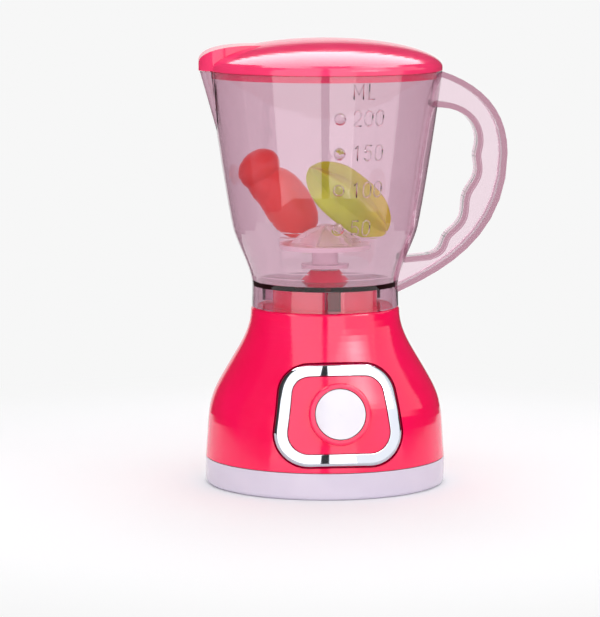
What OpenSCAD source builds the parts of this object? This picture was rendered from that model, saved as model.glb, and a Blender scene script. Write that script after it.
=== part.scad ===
// Toy blender for pretend play: a battery base with a push button, a lift-off jug with
// a turning stirrer and two toy fruits inside, and a lid with a tongue over the spout.
// All sizes are in millimetres. The origin is the middle of the underside and +Z is up.
// The button faces -Y, the handle points to +X and the spout to -X.

/* [Base housing] */
// Radius of the housing where it meets the bottom cover
base_r = 42.1; // [41.5:0.1:46]
// Height of the bottom cover's visible side
skirt_h = 9.3; // [8.5:0.1:11]
// Radius of the shoulder under the jug
shoulder_r = 26.1; // [25.6:0.1:28]
// Height of the shoulder that the jug stands on
shoulder_z = 62.2; // [61.4:0.1:70]
// How much narrower the housing is at the top of its nearly upright lower part
belly_in = 0.9; // [0.7:0.1:2]
// Height of the top of the nearly upright lower part
belly_z = 22.9; // [20:0.1:25]
// Radius where the side turns from convex to concave
flare_r = 34.9; // [33.5:0.1:36]
// Height where the side turns from convex to concave
flare_z = 40.3; // [39:0.1:42]
// Lean of the side there, from upright, in degrees
flare_lean = 30; // [24:1:34]
// Wall of the housing
housing_wall = 2; // [1.8:0.1:2.4]
// Dark line between moulded pieces of the base
seam_gap = 0.25; // [0.1:0.05:0.4]
// Rounding of the base's lower edge
skirt_round = 1.6; // [0.8:0.1:2]
// Radius of the boss that carries the jug
boss_r = 18.4; // [17.5:0.1:19.5]
// Height of the boss above the shoulder
boss_h = 7.2; // [6.8:0.1:7.6]
// Radius of the well in the boss
well_r = 11; // [9.5:0.1:11.5]

/* [Panel ring] */
// Height of the middle of the panel
panel_z = 29.6; // [28.5:0.1:31]
// Lean of the panel's face, from upright, in degrees
panel_lean = 12; // [10:0.5:14]
// Height of the ring, along the panel
ring_h = 36.2; // [34:0.1:36.8]
// Width of the ring near its lower edge
ring_w_low = 44.9; // [42:0.1:46]
// Width of the ring near its upper edge
ring_w_top = 41.2; // [39:0.1:42]
// Width of the ring's band
ring_band = 4.6; // [3.6:0.1:5]
// Radius of the ring's lower outer corners
ring_corner_low = 12.2; // [10:0.1:13]
// Radius of the ring's upper outer corners
ring_corner_top = 11; // [9:0.1:12]
// How far the ring stands out of the housing
ring_proud = 0.6; // [0.3:0.05:0.8]
// How deep the ring sits in its groove
ring_seat = 1; // [0.7:0.05:1.2]

/* [Button] */
// Radius of the button
button_r = 8.6; // [7.8:0.1:9]
// Gap round the button
button_gap = 0.3; // [0.2:0.05:0.4]
// Wall of the collar round the button
collar_wall = 1.85; // [1.5:0.05:2]
// How far the collar stands out of the panel
collar_proud = 1.3; // [1:0.1:1.6]
// Length of the button's guide behind the panel
guide_len = 7; // [6:0.1:7.5]
// How far the button travels
button_travel = 2; // [1.5:0.1:2.2]
// Height of the button's crowned face over its edge
button_crown = 0.6; // [0.4:0.1:0.9]
// Thickness of the switch board
board_t = 1.6; // [1.2:0.1:2]
// Side of the square push switch
switch_side = 8.5; // [8:0.1:10]
// Height of the push switch on its board
switch_h = 7; // [6.5:0.1:7.4]
// Radius of the switch's plunger
plunger_r = 1.6; // [1.4:0.1:2]
// Mean radius of the button's spring
spring_r = 3.6; // [3.2:0.1:3.8]
// Turns of the button's spring
spring_turns = 6; // [4:1:7]

/* [Jug] */
// Wall of the jug
jug_wall = 1.6; // [1.3:0.1:1.8]
// Outer radius of the jug's neck
neck_r = 25.6; // [25:0.1:26]
// Height of the top of the jug's floor above the shoulder
floor_h = 9.4; // [9.2:0.1:10.5]
// Thickness of the jug's floor
floor_t = 1.8; // [1.6:0.1:2]
// Outer radius where the curve of the foot meets the side
hip_r = 32.6; // [31.5:0.1:34]
// Height of that place above the jug's floor
hip_h = 19.2; // [18:0.1:22]
// Outer radius of the rim
rim_r = 41; // [40:0.1:42]
// Height of the rim above the jug's floor
rim_h = 73.5; // [72:0.1:80]
// Gap between the jug and the base, and the lid and the jug
seat_gap = 0.3; // [0.2:0.05:0.5]
// Width of the keys inside the jug's neck
key_w = 4.5; // [3.6:0.1:5]
// How far the spout reaches from the axis at the rim
spout_reach = 43.8; // [43:0.1:45.5]
// Radius of the spout at the rim
spout_r = 9; // [8:0.1:10]
// How far below the rim the spout starts
spout_drop = 22.6; // [18:0.1:26]
// Radius of a scale dot
dot_r = 2; // [1.6:0.1:2.4]
// How far a scale dot stands out
dot_proud = 0.8; // [0.5:0.1:1]
// Height of the lowest scale dot above the floor
dot_first = 21.1; // [19:0.1:23]
// Step from the lowest scale dot to the next
dot_step = 13.4; // [11.5:0.05:14]
// How much shorter each further step is, as the jug widens
dot_closing = 0.7; // [0:0.05:1]

/* [Handle] */
// How far the handle reaches from the axis
handle_reach = 64.2; // [61:0.1:70]
// Thickness of the handle's web
web_t = 1.8; // [1.4:0.1:2.6]
// Thickness of the handle's flanged edges
flange_t = 2; // [1.6:0.1:2.6]
// Width of the handle's flanged edges
flange_w = 8; // [6:0.1:10]
// Width of the grip between the two edges at its widest
grip_w = 10.6; // [9.5:0.1:12]
// Height of the finger waves
wave_h = 0.9; // [0.4:0.05:1.1]
// Number of finger waves
waves = 3; // [2:1:4]

/* [Lid] */
// Height of the dome above the jug's rim
dome_h = 11.3; // [9.8:0.1:14]
// Height of the lid's upright edge
lid_edge = 1.3; // [1:0.1:1.8]
// Wall of the lid
lid_wall = 1.8; // [1.4:0.1:2]
// How far the plug ring goes down into the jug
plug_drop = 2.2; // [1.8:0.1:4]
// Gap between the plug ring and the jug
plug_gap = 0.4; // [0.3:0.05:0.6]
// Width of the tongue over the spout
tongue_w = 18; // [16:0.1:20]
// Height of the tongue above the rim
tongue_h = 9.2; // [8.6:0.1:9.6]
// How far the tongue reaches from the axis
tongue_reach = 44.5; // [44:0.1:46]

/* [Stirrer] */
// Radius of the stirrer's flange
flange_r = 16.3; // [15:0.1:17]
// Height of the flange above the jug's floor
flange_h = 11.3; // [11:0.1:11.7]
// Thickness of the flange
rotor_plate = 1.7; // [1.4:0.1:1.9]
// Radius of the ribbed dome
fin_r = 13.5; // [12:0.1:14]
// Height of the ribbed dome
fin_h = 6.2; // [5.6:0.1:6.4]
// Thickness of a rib
fin_t = 1.5; // [1.2:0.1:2]
// Number of ribs
fins = 6; // [4:1:8]
// Radius of the thin washer under the stirrer
washer_r = 8.4; // [7.5:0.1:9.5]
// Radius of the stirrer's hub
hub_r = 4.7; // [4:0.1:5.5]
// Lower radius of the bearing cone
cone_r = 8.5; // [7.5:0.1:9.5]
// Height of the bearing cone
cone_h = 3.7; // [3.2:0.1:4]

/* [Drive] */
// Radius of both shafts in the stirrer's line
shaft_r = 1.5; // [1.2:0.1:1.8]
// Radius of the motor's shaft
motor_shaft_r = 1; // [0.8:0.1:1.2]
// Radial clearance of a turning shaft
running_gap = 0.05; // [0.02:0.01:0.08]
// Radius of both couplers
coupler_r = 7.6; // [6.5:0.1:8]
// Gear module
gear_module = 0.5; // [0.45:0.01:0.52]
// Teeth of the drive gear
gear_teeth = 44; // [40:1:46]
// Teeth of the pinion
pinion_teeth = 12; // [12:1:14]
// Width of the drive gear
gear_w = 4; // [3:0.1:4.5]
// Play between the teeth, along the pitch line
tooth_play = 0.16; // [0.12:0.01:0.24]
// Radius of the motor's can
can_r = 10; // [9.5:0.1:10.5]
// Distance between the flats of the motor's can
can_flats = 15.2; // [14.6:0.1:16]
// Length of the motor's can
can_len = 22.4; // [20:0.1:23]
// Radius of the deck that carries the motor
deck_r = 22.5; // [21.8:0.1:24]
// Thickness of the deck
deck_t = 2; // [1.6:0.1:2.2]

/* [Battery bay] */
// Radius of a cell
cell_r = 7.2; // [7:0.05:7.25]
// Length of a cell without its nub
cell_len = 49.3; // [48.6:0.1:49.6]
// Thickness of the bottom cover's floor
cover_t = 2.3; // [2.1:0.1:2.6]
// Wall of the battery bay
bay_wall = 1.5; // [1.2:0.1:1.6]
// Thickness of the battery door
door_t = 2; // [1.7:0.05:2.05]
// Gap round the battery door
door_gap = 0.35; // [0.3:0.05:0.5]
// Turns of a cell's contact spring
contact_turns = 2; // [1:1:2]

/* [Toy fruits] */
// Length of the red fruit's body, without its end lobe
pepper_len = 27; // [25:0.5:28]
// Width of the red fruit
pepper_w = 17.6; // [15:0.1:17.8]
// Length of the star fruit
star_len = 35; // [32:0.5:36]
// Width of the star fruit over its ridges
star_w = 21.8; // [18:0.1:22]
// Depth of the star fruit's valleys, as a share of its half width
star_depth = 0.3; // [0.15:0.01:0.4]

/* [Hidden] */
$fn = 96;
steps = 10;
over = 1;

pink = "#f3214f";
lid_pink = "#ee3a68";
pearl = "#ece6f0";
plated = "#d9dce2";
smoke = "#6b4a60";
steel = "#a9adb2";
brass = "#c9a24b";
nylon = "#e9e6dc";

// Curves. A point of an outline that is turned is [radius, height].
function bezier(a, b, c, d, n = steps) = [
    for (i = [0:n])
        let (t = i / n, u = 1 - t)
        u * u * u * a + 3 * u * u * t * b + 3 * u * t * t * c + t * t * t * d
];
function unit(v) = v / norm(v);
function swap(points) = [for (p = points) [p[1], p[0]]];
function reversed(points) = [for (i = [len(points) - 1:-1:0]) points[i]];
// Moves an outline sideways: to the right of its direction for a positive distance
function beside(points, distance) = [
    for (i = [0:len(points) - 1])
        let (
            a = points[max(i - 1, 0)],
            b = points[min(i + 1, len(points) - 1)],
            along = unit(b - a)
        )
        points[i] + distance * [along[1], -along[0]]
];
function radius_at(points, z) = lookup(z, swap(points));
function polar(r, a) = [r * cos(a), r * sin(a)];

// Outer side of the housing, from the bottom cover up to the shoulder
housing_low = skirt_h + seam_gap;
belly_r = base_r - belly_in;
belly_pull = 8;
belly_taper = 0.6;
flare_pull_low = 6.5;
flare_pull_top = 9;
shoulder_pull = 8.5;
edge_round = 0.6;
flare_way = [sin(flare_lean), -cos(flare_lean)];
housing_side = concat(
    [[base_r, housing_low]],
    bezier(
        [belly_r, belly_z],
        [belly_r - belly_taper, belly_z + belly_pull],
        [flare_r, flare_z] + flare_pull_low * flare_way,
        [flare_r, flare_z]
    ),
    [for (i = [1:steps]) bezier(
        [flare_r, flare_z],
        [flare_r, flare_z] - flare_pull_top * flare_way,
        [shoulder_r, shoulder_z - shoulder_pull],
        [shoulder_r, shoulder_z - edge_round]
    )[i]]
);
top_t = 2;

// Boss, well and keys
boss_top = shoulder_z + boss_h;
well_floor = shoulder_z - 1.2;
well_floor_t = 2;
key_gap = 0.3;
key_depth = 3.5;
keys = 3;

// Panel: its own frame has the origin on the housing's side, +Z straight out
panel_r = radius_at(housing_side, panel_z);
groove_gap = 0.25;
board_front = -19;
board_post_r = 2.1;
post_clear = 0.4;
screw_r = 0.9;
button_skin = 1.6;
button_wall = 1.4;
button_lip = 1;
board_screw_x = button_r + button_gap + button_lip + post_clear + board_post_r;
board_size = [2 * (board_screw_x + board_post_r + 0.5), 14];
button_lip_h = 1.2;
button_edge = collar_proud - 0.1;
stem_r = 1.9;
switch_front = board_front + switch_h;
plunger_out = button_travel + 1;
stem_end = switch_front + plunger_out;
guide_end = -guide_len;

// Jug
neck_low = shoulder_z + seat_gap;
floor_z = shoulder_z + floor_h;
floor_under = floor_z - floor_t;
rim_z = floor_z + rim_h;
hip_z = floor_z + hip_h;
foot_z = floor_z - 1.7;
neck_flare = 0.2;
jug_side = concat(
    [[neck_r + neck_flare, neck_low]],
    bezier([neck_r, foot_z], [neck_r + neck_flare, foot_z + 6], [hip_r - 1.1, hip_z - 5.5], [hip_r, hip_z]),
    [for (i = [1:steps]) bezier(
        [hip_r, hip_z], [hip_r + 2, hip_z + 9.4], [rim_r - 2.4, rim_z - 18.6], [rim_r, rim_z]
    )[i]]
);
jug_inside = beside(jug_side, -jug_wall);

// Spout: a cone that leans out of the side
spout_foot_r = 6;
spout_foot_z = rim_z - spout_drop;
spout_foot_x = radius_at(jug_side, spout_foot_z) - 0.4 - spout_foot_r;
spout_top_x = spout_reach - spout_r;
spout_lean = atan((spout_top_x - spout_foot_x) / spout_drop);
spout_len = spout_drop / cos(spout_lean);

// Handle, drawn in the plane of [x, z]
function in_wall(z) = radius_at(jug_side, z) - jug_wall / 2;
handle_top = [in_wall(rim_z - 0.2), rim_z - 0.2];
handle_out = [handle_reach, floor_z + 44.2];
handle_low_z = floor_z - 4.6;
handle_low = [in_wall(handle_low_z), handle_low_z];
handle_edge = concat(
    bezier(handle_top, [handle_top[0] + 14, rim_z - 4.6], [handle_reach, rim_z - 13.8], handle_out),
    [for (i = [1:steps]) bezier(
        handle_out, [handle_reach, floor_z + 13], [handle_low[0] + 14, handle_low_z + 6.4], handle_low
    )[i]]
);
grip_top_z = rim_z - 13;
grip_low_z = floor_z + 7.9;
grip_out = [handle_reach - grip_w, rim_z - 25];
grip_low = [hip_r + 3.9, floor_z + 8.7];
grip_steps = 30;
grip_line = bezier(
    grip_out, grip_out - [0, 13], [grip_low[0] + 9.5, grip_low[1] + 4.3], grip_low, grip_steps
);
// The waves start and end level with the line, and swing to both sides of it
grip_wave = [
    for (i = [0:grip_steps])
        let (
            along = unit(grip_line[min(i + 1, grip_steps)] - grip_line[max(i - 1, 0)]),
            fade = min(1, 6 * min(i, grip_steps - i) / grip_steps)
        )
        grip_line[i] + wave_h * fade * sin(360 * waves * i / grip_steps) * [along[1], -along[0]]
];
grip_edge = concat(
    bezier(
        [in_wall(grip_top_z), grip_top_z],
        [in_wall(grip_top_z) + 9, grip_top_z + 0.2],
        grip_out + [0, 7.5],
        grip_out
    ),
    [for (i = [1:grip_steps]) grip_wave[i]],
    [[in_wall(grip_low_z), grip_low_z]]
);

// Lid
lid_low = rim_z + seat_gap;
dome_side = concat(
    [[rim_r, lid_low]],
    bezier(
        [rim_r, lid_low + lid_edge],
        [rim_r - 0.4, lid_low + lid_edge + 4],
        [rim_r - 15, rim_z + dome_h],
        [0, rim_z + dome_h],
        2 * steps
    )
);
plug_r = rim_r - jug_wall - plug_gap;
plug_wall = 1.6;
tongue_side = concat(
    [[tongue_reach, lid_low]],
    bezier(
        [tongue_reach, lid_low + 2.9],
        [tongue_reach, lid_low + 6.8],
        [tongue_reach - 7.5, rim_z + tongue_h],
        [tongue_reach - 18.5, rim_z + tongue_h]
    )
);
tongue_root = 22;

// Stirrer and its drive, from the jug's floor down
plate_low = floor_z + flange_h;
plate_top = plate_low + rotor_plate;
cone_top = floor_z + cone_h;
cone_top_r = 5;
// Through the jug's floor go the shaft, with room, and the cone's three staked pegs
floor_hole_r = shaft_r + 0.4;
peg_r = 1;
peg_at = 5.8;
pegs = 3;
washer_t = 1.2;
washer_low = cone_top + 1;
dome_core = [10.6, 5.3];
dome_bluntness = 1.9;
rotor_shaft_top = plate_top + 3.4;
coupler_plate = 2;
rotor_coupler_top = floor_under - 0.4;
rotor_coupler_low = rotor_coupler_top - coupler_plate;
drive_coupler_low = well_floor + 0.8;
drive_coupler_top = drive_coupler_low + coupler_plate;
tooth_clear = 0.7;
jaw_in_r = 3.4;
jaw_edge = 0.3;
jaw_angle = 36;
jaws = 4;

// Deck, gears and motor, down from the shoulder
deck_low = shoulder_z - 15.6;
deck_top = deck_low + deck_t;
deck_screw_r = 19.5;
deck_post_r = 2.6;
bush_r = 3;
bush_flange_r = 4.2;
bush_flange_t = 0.5;
bush_len = 5.5;
bush_tube_r = 5;
deck_hub_r = 4;
deck_hub_len = 3;
gear_low = deck_top + 1.6;
gear_hub_r = 3.5;
gear_hub_low = deck_top + 0.6;
bush_tube_low = well_floor - bush_len - 0.5;
gear_hub_top = bush_tube_low - 0.3;
gear_holes = 5;
gear_hole_r = 1.9;
gear_pitch_r = gear_module * gear_teeth / 2;
pinion_pitch_r = gear_module * pinion_teeth / 2;
motor_y = gear_pitch_r + pinion_pitch_r;
can_top = deck_low - 0.3;
can_low = can_top - can_len;
can_wall = 0.8;
nose_r = 3;
nose_h = 1.7;
cap_h = 2.5;
cap_low = can_low - cap_h;
cradle_wall = 1.5;
cradle_gap = 0.15;
cradle_h = 7;
shaft_stub = 0.8;
pressure = 20;
addendum = 0.85 * gear_module;
dedendum = 1.25 * gear_module;

// Battery bay, up from the table
cell_y = 7.6;
cell_z = cover_t + 7.2;
bay_in = [54.5, 31.6];
bay_top = cell_z + cell_r + 0.7;
ledge_t = 1.5;
ledge_w = 4;
plate_t = 0.4;
nub_r = 2.75;
nub_h = 1;
contact_x = bay_in[0] / 2 - plate_t;
cell_end = contact_x - nub_h - 0.05;
spring_wire_r = 0.3;
contact_spring_r = 3.2;
door_half = [31, 17];
door_corner = 2.5;
door_screw_x = 33.4;
door_pad_r = 4.6;
tab_ys = [-9, 9];
tab_w = 6;
tab_reach = 3.2;
tab_t = 1.2;
tab_gap = 0.3;
door_screw_hole_r = 1.4;
door_screw_top = 6.6;
cover_screw_inset = 7.3;
cover_screw_turn = 51.9;
cover_screw_at = (base_r - cover_screw_inset) * [cos(cover_screw_turn), sin(cover_screw_turn)];
cover_post_r = 3;
cover_boss_r = 3.5;
cover_boss_top = 8;
cover_post_low = cover_boss_top + 0.3;
cover_post_top = 34;
head_r = 2;
head_h = 1.1;
cover_wall = 2.2;
lip_wall = 1.6;
lip_gap = 0.1;
lip_up = 2.5;
lip_r = radius_at(beside(housing_side, -housing_wall), skirt_h + lip_up) - lip_gap;

// Leads, and where they leave the cells' contacts
lead_r = 0.6;
lead_z = bay_top + bay_wall + 1.6;

// Toy fruits: where they lie, and how far their long axes lean from upright
fruit_turn = -7.5;
pepper_at = [-18.4, 13.4, floor_z + 34.6];
pepper_lean = 37;
star_at = [6.4, -11.1, floor_z + 28.9];
star_lean = 50;
star_roll = -70;
star_ridges = 5;

module at_panel() {
    translate([0, -panel_r, panel_z]) rotate([90 - panel_lean, 0, 0]) children();
}

module four_ways(at) {
    for (sx = [-1, 1], sy = [-1, 1]) translate([sx * at[0], sy * at[1], 0]) children();
}

// Turns an outline of [radius, height] points, closed along the axis
module turned(side, low, top) {
    rotate_extrude() polygon(concat([[0, low]], side, [[0, top]]));
}

// The whole body of the housing, grown or shrunk by a skin
module housing_form(skin = 0) {
    side = beside(housing_side, skin);
    turned(
        concat([[side[0][0], housing_low]], [for (i = [1:len(side) - 2]) side[i]],
            [[shoulder_r + skin, shoulder_z - edge_round], [shoulder_r - edge_round + skin, shoulder_z]]),
        housing_low, shoulder_z
    );
}

// Outline of the ring, inset by a margin; it is narrower at the top
module ring_outline(inset) {
    half_h = ring_h / 2;
    low_y = ring_corner_low - half_h;
    top_y = half_h - ring_corner_top;
    hull() {
        for (s = [-1, 1]) {
            translate([s * (ring_w_low / 2 - ring_corner_low), low_y]) circle(ring_corner_low - inset);
            translate([s * (ring_w_top / 2 - ring_corner_top), top_y]) circle(ring_corner_top - inset);
        }
    }
}

module ring_prism(outer_inset, inner_inset, low, top) {
    translate([0, 0, low]) linear_extrude(top - low) difference() {
        ring_outline(outer_inset);
        ring_outline(inner_inset);
    }
}

module key_slots(width, inner, outer, low, top) {
    for (i = [0:keys - 1]) {
        rotate([0, 0, -90 + 360 * i / keys])
            translate([inner, -width / 2, low]) cube([outer - inner, width, top - low]);
    }
}

module housing() {
    inner_side = beside(housing_side, -housing_wall);
    cavity_top = shoulder_z - top_t;
    slot_w = key_w + 2 * key_gap;
    slot_in = boss_r - key_depth;
    color(pink) difference() {
        union() {
            difference() {
                housing_form();
                turned(
                    concat([[inner_side[0][0], housing_low - over]],
                        [for (p = inner_side) if (p[1] > housing_low + over && p[1] < cavity_top) p],
                        [[radius_at(inner_side, cavity_top), cavity_top]]),
                    housing_low - over, cavity_top
                );
                translate([0, 0, cavity_top - over]) cylinder(r = boss_r - top_t, h = top_t + 2 * over);
            }
            difference() {
                translate([0, 0, cavity_top]) cylinder(r = boss_r, h = boss_top - cavity_top);
                translate([0, 0, cavity_top - over]) difference() {
                    cylinder(r = boss_r - top_t, h = boss_top - top_t - cavity_top + over);
                    cylinder(r = well_r + top_t, h = boss_h + 2 * top_t + over);
                }
            }
            intersection() {
                key_slots(slot_w + 2 * top_t, well_r + top_t / 2, boss_r - top_t / 2, cavity_top, boss_top);
                cylinder(r = boss_r - top_t / 2, h = boss_top);
            }
            translate([0, 0, well_floor - well_floor_t]) cylinder(r = well_r + top_t, h = well_floor_t);
            translate([0, 0, bush_tube_low]) cylinder(r = bush_tube_r, h = well_floor - bush_tube_low);
            at_panel() guide_tube();
            intersection() {
                union() {
                    at_panel() board_posts();
                    four_ways(cover_screw_at) translate([0, 0, cover_post_low])
                        cylinder(r = cover_post_r, h = cover_post_top - cover_post_low);
                    deck_posts(deck_top, cavity_top + top_t / 2, deck_post_r);
                }
                housing_form(-housing_wall / 2);
            }
        }
        translate([0, 0, well_floor]) cylinder(r = well_r, h = boss_top);
        translate([0, 0, bush_tube_low - over]) cylinder(r = bush_r, h = boss_top);
        key_slots(slot_w, slot_in, boss_r + over, shoulder_z, boss_top + over);
        at_panel() button_bore();
        panel_groove();
        four_ways(cover_screw_at) translate([0, 0, cover_post_low - over])
            cylinder(r = screw_r, h = 9 + over);
        deck_posts(deck_top - over, deck_top + 6, screw_r);
        at_panel() board_screw_holes(board_front, 7);
    }
}

module guide_tube() {
    outer = button_r + button_gap + collar_wall;
    edge = 0.8;
    rotate_extrude() polygon(concat(
        [[button_r, guide_end], [outer, guide_end], [outer, collar_proud - edge]],
        [for (a = [30, 60, 90]) [outer - edge + edge * cos(a), collar_proud - edge + edge * sin(a)]],
        [[button_r, collar_proud]]
    ));
}

module button_bore() {
    translate([0, 0, guide_end - over])
        cylinder(r = button_r + button_gap, h = guide_len + collar_proud + 2 * over);
}

module board_posts() {
    for (s = [-1, 1]) translate([s * board_screw_x, 0, board_front])
        cylinder(r = board_post_r, h = -board_front);
}

module board_screw_holes(low, len) {
    for (s = [-1, 1]) translate([s * board_screw_x, 0, low - over]) cylinder(r = screw_r, h = len + over);
}

module panel_groove() {
    difference() {
        at_panel() ring_prism(-groove_gap, ring_band + groove_gap, -panel_r / 2, panel_r / 2);
        housing_form(-ring_seat - groove_gap);
        translate([0, 0, housing_low - over]) cylinder(r = panel_r * cos(60), h = shoulder_z);
    }
}

module deck_posts(low, top, r) {
    four_ways(polar(deck_screw_r, 45)) translate([0, 0, low]) cylinder(r = r, h = top - low);
}

module panel_ring() {
    color(plated) difference() {
        intersection() {
            at_panel() ring_prism(0, ring_band, -panel_r / 2, panel_r / 2);
            housing_form(ring_proud);
        }
        housing_form(-ring_seat);
    }
}

module bottom_cover() {
    ledge = [bay_in[0] + 2 * ledge_w, bay_in[1] + 2 * ledge_w];
    tab_room = 4;
    color(pearl) difference() {
        union() {
            difference() {
                turned(
                    concat(
                        [for (a = [-90:18:0]) [
                            base_r - skirt_round + skirt_round * cos(a), skirt_round + skirt_round * sin(a)
                        ]],
                        [[base_r, skirt_h]]
                    ),
                    0, skirt_h
                );
                translate([0, 0, cover_t]) cylinder(r = base_r - cover_wall, h = skirt_h);
            }
            translate([0, 0, cover_t / 2]) difference() {
                cylinder(r = lip_r, h = skirt_h + lip_up - cover_t / 2);
                translate([0, 0, -over]) cylinder(r = lip_r - lip_wall, h = skirt_h + lip_up + 2 * over);
            }
            four_ways(cover_screw_at) translate([0, 0, cover_t / 2])
                cylinder(r = cover_boss_r, h = cover_boss_top - cover_t / 2);
            centred_box([ledge[0], ledge[1]], cover_t / 2, cover_t + ledge_t);
            centred_box([bay_in[0] + 2 * bay_wall, bay_in[1] + 2 * bay_wall], cover_t, bay_top + bay_wall);
            translate([door_screw_x, 0, cover_t / 2])
                cylinder(r = door_pad_r, h = door_screw_top + 1.4 - cover_t / 2);
        }
        centred_box(bay_in, -over, bay_top);
        door_outline(door_gap, -over, cover_t);
        for (y = tab_ys) translate([-door_half[0] - tab_reach - 1.2, y - tab_w / 2 - tab_gap, cover_t])
            cube([door_half[0] + tab_reach + 1.2 - bay_in[0] / 2 + over, tab_w + 2 * tab_gap, tab_room]);
        translate([door_screw_x, 0, 0]) cylinder(r = door_screw_hole_r, h = door_screw_top + 0.4);
        four_ways(cover_screw_at) {
            translate([0, 0, -over]) cylinder(r = head_r + 0.3, h = 4.2 + over);
            cylinder(r = screw_r + 0.2, h = cover_boss_top + over);
        }
        for (y = [-cell_y, cell_y]) translate([contact_x - 0.1, y - 1.7, bay_top - over])
            cube([plate_t + 0.1, 3.4, bay_wall + 2 * over]);
    }
}

module centred_box(size, low, top) {
    translate([-size[0] / 2, -size[1] / 2, low]) cube([size[0], size[1], top - low]);
}

// The door's outline with a gap round it: a rounded plate with a pad for the screw
module door_outline(gap, low, top) {
    corner_at = [door_half[0] - door_corner, door_half[1] - door_corner];
    grown = door_half + [gap, gap];
    translate([0, 0, low]) linear_extrude(top - low) union() {
        four_ways(corner_at) circle(door_corner + gap);
        square([2 * grown[0], 2 * corner_at[1]], center = true);
        square([2 * corner_at[0], 2 * grown[1]], center = true);
        translate([door_screw_x, 0]) circle(door_pad_r + gap - 0.4);
    }
}

module battery_door() {
    tab_low = cover_t + tab_gap;
    color(pearl) difference() {
        union() {
            door_outline(0, 0, door_t);
            for (y = tab_ys) translate([-door_half[0], y - tab_w / 2, 0]) {
                translate([0, 0, door_t / 2]) cube([1.4, tab_w, tab_low + tab_t - door_t / 2]);
                translate([-tab_reach, 0, tab_low]) cube([tab_reach + 1.4, tab_w, tab_t]);
            }
        }
        translate([door_screw_x, 0, -over]) cylinder(r = head_r + 0.2, h = head_h + over);
        translate([door_screw_x, 0, 0]) cylinder(r = screw_r + 0.15, h = door_t + over);
        for (i = [0:4]) translate([-door_half[0] + 4.5, 0, 0]) grip_rib(i);
    }
}

// A shallow arc cut near the hinge end of the door, for the thumb
module grip_rib(i) {
    translate([i * 1.8, -7 + i * 0.7, -over]) cube([0.8, 14 - i * 1.4, over + 0.5]);
}

// A pan-head screw that points up, with a cross slot, its head's underside at height 0
module screw(len, shank_r = screw_r) {
    difference() {
        translate([0, 0, -head_h]) cylinder(r = head_r, h = head_h);
        for (a = [0, 90]) rotate([0, 0, a]) translate([-1.2, -0.25, -head_h - over])
            cube([2.4, 0.5, over + 0.6]);
    }
    cylinder(r = shank_r, h = len);
}

module door_screw() {
    color(steel) translate([door_screw_x, 0, head_h]) screw(door_screw_top - head_h);
}

module cover_screws() {
    color(steel) four_ways(cover_screw_at) translate([0, 0, 4.2]) screw(12);
}

module deck_screws() {
    color(steel) four_ways(polar(deck_screw_r, 45)) translate([0, 0, deck_low]) screw(deck_t + 5.5);
}

module board_screws() {
    color(steel) at_panel() for (s = [-1, 1])
        translate([s * board_screw_x, 0, board_front - board_t]) screw(board_t + 6);
}

module gear_deck() {
    cradle = [2 * (can_r + cradle_gap + cradle_wall), can_flats + 2 * (cradle_gap + cradle_wall)];
    color(nylon) difference() {
        union() {
            translate([0, 0, deck_low]) cylinder(r = deck_r, h = deck_t);
            translate([0, 0, deck_low - deck_hub_len]) cylinder(r = deck_hub_r, h = deck_hub_len + deck_t);
            translate([0, motor_y, 0]) centred_box(cradle, deck_low - cradle_h, deck_low + deck_t / 2);
        }
        translate([0, 0, deck_low - deck_hub_len - over])
            cylinder(r = shaft_r + running_gap, h = deck_hub_len + deck_t + 2 * over);
        translate([0, motor_y, 0]) {
            motor_section(
                can_r + cradle_gap, can_flats + 2 * cradle_gap, deck_low - cradle_h - over, deck_low
            );
            translate([0, 0, deck_low - over]) cylinder(r = nose_r + cradle_gap, h = deck_t + 2 * over);
        }
        deck_posts(deck_low - over, deck_top + over, screw_r + 0.1);
    }
}

module spindle_bush() {
    color(brass) translate([0, 0, well_floor]) difference() {
        union() {
            translate([0, 0, -bush_len]) cylinder(r = bush_r, h = bush_len);
            cylinder(r = bush_flange_r, h = bush_flange_t);
        }
        translate([0, 0, -bush_len - over])
            cylinder(r = shaft_r + running_gap, h = bush_len + bush_flange_t + 2 * over);
    }
}

// A round bar with two flats, the section of the small motor
module motor_section(r, flats, low, top) {
    translate([0, 0, low]) intersection() {
        cylinder(r = r, h = top - low);
        translate([-2 * r, -flats / 2, 0]) cube([4 * r, flats, top - low]);
    }
}

module motor_can() {
    color(steel) translate([0, motor_y, 0]) difference() {
        union() {
            motor_section(can_r, can_flats, can_low, can_top);
            translate([0, 0, can_top]) cylinder(r = nose_r, h = nose_h);
        }
        motor_section(can_r - can_wall, can_flats - 2 * can_wall, can_low - over, can_top - can_wall);
        translate([0, 0, can_top - can_wall - over])
            cylinder(r = motor_shaft_r + running_gap, h = nose_h + can_wall + 2 * over);
    }
}

module motor_end_cap() {
    color(nylon) translate([0, motor_y, 0]) difference() {
        union() {
            motor_section(can_r, can_flats, cap_low, can_low);
            motor_section(can_r - can_wall, can_flats - 2 * can_wall, can_low, can_low + 2);
        }
        translate([0, 0, cap_low - over]) cylinder(r = motor_shaft_r + running_gap, h = cap_h + 2 + 2 * over);
        for (s = [-1, 1]) terminal(s, 0);
    }
}

// A soldering tag in the motor's end cap, grown by a margin
module terminal(side, margin) {
    size = [3.4, 1.6, 0.5];
    translate([side * (can_r + 0.2), 0, cap_low + cap_h / 2]) cube(size + margin * [1, 1, 1], center = true);
}

module motor_terminals() {
    color(brass) translate([0, motor_y, 0]) for (s = [-1, 1]) terminal(s, 0);
}

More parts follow.
